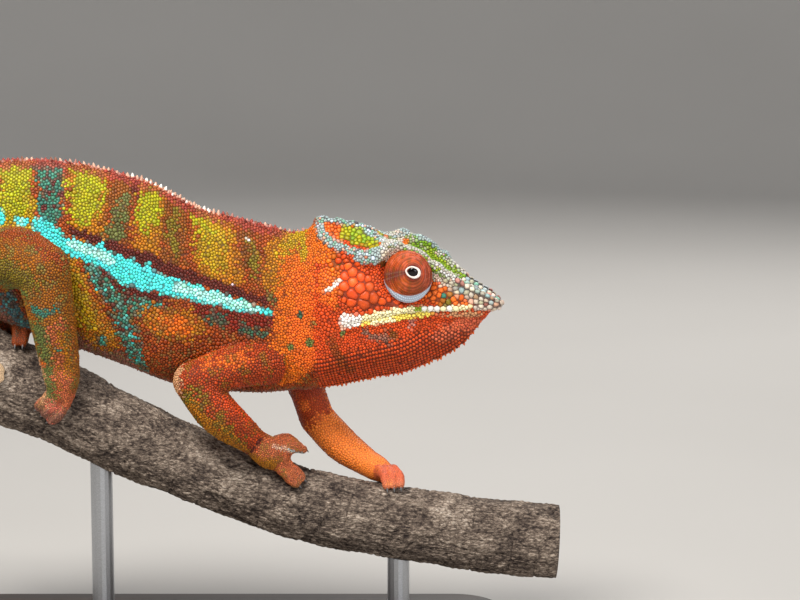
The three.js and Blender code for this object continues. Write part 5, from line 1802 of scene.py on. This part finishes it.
# The stand: a base of dark stained wood with rounded edges, and two brushed steel rods with collars.
stand = {
    "corner": 18.0, "edge": 1.6,
    # radius, height
    "collar": [(4.1, 0), (7.4, 0), (7.8, 0.4), (7.8, 2.6), (7.3, 3.2), (5.0, 3.6), (4.1, 3.6)],
}


def boxOf(node):
    return (np.array(corner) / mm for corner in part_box(node))


def woodMaterial():
    look = Shader("stained_wood", Roughness=0.45, Coat_Weight=0.25, Coat_Roughness=0.25)
    grain = look.noise(2.2, 5, (0.06, 1, 0.6), 0.6)
    colour = look.ramp(grain, [(0.3, srgb(30, 24, 22)), (0.5, srgb(48, 38, 33)), (0.7, srgb(66, 51, 43))])
    return look.paint(colour, roughness=0.4 + grain * 0.2, bump=grain, depth=0.12)


# A rounded slab is its corner outline, drawn in by the edge's own quarter circle.
def makeBase():
    low, high = boxOf("stand_base")
    middle, half = (low + high) / 2, (high - low) / 2
    corner, edge = stand["corner"], stand["edge"]
    turn = np.linspace(0, pi / 2, 14)
    arcs = np.concatenate([turn + quarter * pi / 2 for quarter in range(4)])
    signs = np.repeat(np.array([(1, 1), (-1, 1), (-1, -1), (1, -1)], float), len(turn), 0)
    bend = np.linspace(0, pi / 2, 7)[1:]
    inset = np.concatenate([[0.6, 0.15, 0], edge * (1 - np.cos(bend)), [edge + 6, edge + 12]])
    height = np.concatenate([[0, 0.2, 0.7], high[2] - edge + edge * np.sin(bend), [high[2], high[2]]])
    outwards = np.stack([np.cos(arcs), np.sin(arcs)], -1)
    outline = middle[:2] + (half[:2] - corner) * signs + outwards * (corner - inset)[:, None, None]
    rings = np.concatenate([outline, np.broadcast_to(height[:, None, None], (*outline.shape[:2], 1))], -1)
    handOver(newPiece("stand_plate", *closedShell(rings)), "base", woodMaterial(), "stand_base")
    return high[2]


def steelMaterial():
    look = Shader("turned_steel", Roughness=0.3, Metallic=1.0)
    brushed = look.noise(0.6, 3, (1, 1, 12))
    return look.paint(look.ramp(brushed, [(0.3, srgb(150, 152, 156)), (0.7, srgb(196, 198, 202))]),
                      roughness=0.25 + brushed * 0.2)


# The rods are the solids' own meshes, with a turned collar round the foot of each.
def makeRods(baseTop):
    finish = steelMaterial()
    radius, height = np.array(stand["collar"]).T
    angle = np.linspace(0, 2 * pi, 64, endpoint=False)[:, None]
    for number in (1, 2):
        low, high = boxOf(f"stand_rod_{number}")
        x, y, _ = (low + high) / 2
        grid = np.stack([x + radius * np.cos(angle), y + radius * np.sin(angle),
                         baseTop + height + 0.01 + 0 * angle], -1)
        handOver(newPiece(f"stand_collar_{number}", *closedLoop(grid)), "steel", finish)
        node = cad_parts[f"stand_rod_{number}"]
        node.data.materials.clear()
        node.data.materials.append(finish)


makeRods(makeBase())
print("stand")

# The room: a pale floor that curves up all round, soft light from above and the front, and the camera.
room = {
    "floor": {"flat": 1500.0, "bend": 1000.0, "top": 2600.0, "around": 96},
    "lamps": {  # place, size, power, colour
        "key": ((-0.3, -0.62, 1.05), 0.4, 15.5, (1.0, 0.97, 0.92)),
        "fill": ((0.85, -1.42, 0.58), 1.0, 10.6, (0.95, 0.97, 1.0)),
        "back": ((0.3, 0.9, 0.8), 0.8, 5.6, (1.0, 0.98, 0.95)),
    },
    "lampTarget": (0.02, 0, 0.13),
    "sky": ((0.82, 0.85, 0.9, 1), 0.42),
}
# The camera looks at the animal's right side from a little above it.
view = {"target": (0.0666, 0, 0.1359), "elevation": 9, "distance": 0.96, "lens": 120}


def makeFloor():
    flat, bend, top, around = room["floor"].values()
    rise = np.linspace(0, pi / 2, 24)
    radius = np.concatenate([[200.0], flat + bend * np.sin(rise), [flat + bend]])[:, None]
    height = np.concatenate([[0.0], bend - bend * np.cos(rise), [top]])[:, None]
    angle = np.linspace(0, 2 * pi, around, endpoint=False)
    rings = np.stack([radius * np.cos(angle), radius * np.sin(angle), height + 0 * angle], -1)
    verts = np.vstack([rings.reshape(-1, 3), [[0, 0, 0]]])
    floor = newPiece("floor", verts, bands(len(radius), around)[:, ::-1], fan(0, around, len(verts) - 1))
    look = Shader("pale_backdrop", Roughness=0.9)
    tone = look.ramp(look.noise(300.0, 2), [(0.3, srgb(194, 191, 187)), (0.7, srgb(198, 195, 191))])
    floor.data.materials.append(look.paint(tone))


def aimed(name, data, place, target):  # a lamp or camera that looks from its place at the target
    made = bpy.data.objects.new(name, data)
    made.location = place
    made.rotation_euler = (Vector(target) - Vector(place)).to_track_quat("-Z", "Y").to_euler()
    bpy.context.scene.collection.objects.link(made)
    return made


def makeLight():
    for name, (place, size, power, colour) in room["lamps"].items():
        lamp = bpy.data.lights.new(name, "AREA")
        lamp.shape, lamp.size, lamp.energy, lamp.color = "DISK", size, power, colour
        aimed(name, lamp, place, room["lampTarget"])
    world = bpy.data.worlds.new("studio")
    world.use_nodes = True
    background = world.node_tree.nodes["Background"]
    background.inputs[0].default_value, background.inputs[1].default_value = room["sky"]
    bpy.context.scene.world = world


def makeCamera():
    data = bpy.data.cameras.new("camera")
    data.lens, data.clip_start = view["lens"], 0.05
    away = Vector((0, -cos(radians(view["elevation"])), sin(radians(view["elevation"])))) * view["distance"]
    scene = bpy.context.scene
    scene.camera = aimed("camera", data, Vector(view["target"]) + away, view["target"])
    scene.view_settings.view_transform = "Standard"


makeFloor()
makeLight()
makeCamera()
print("scene ready")
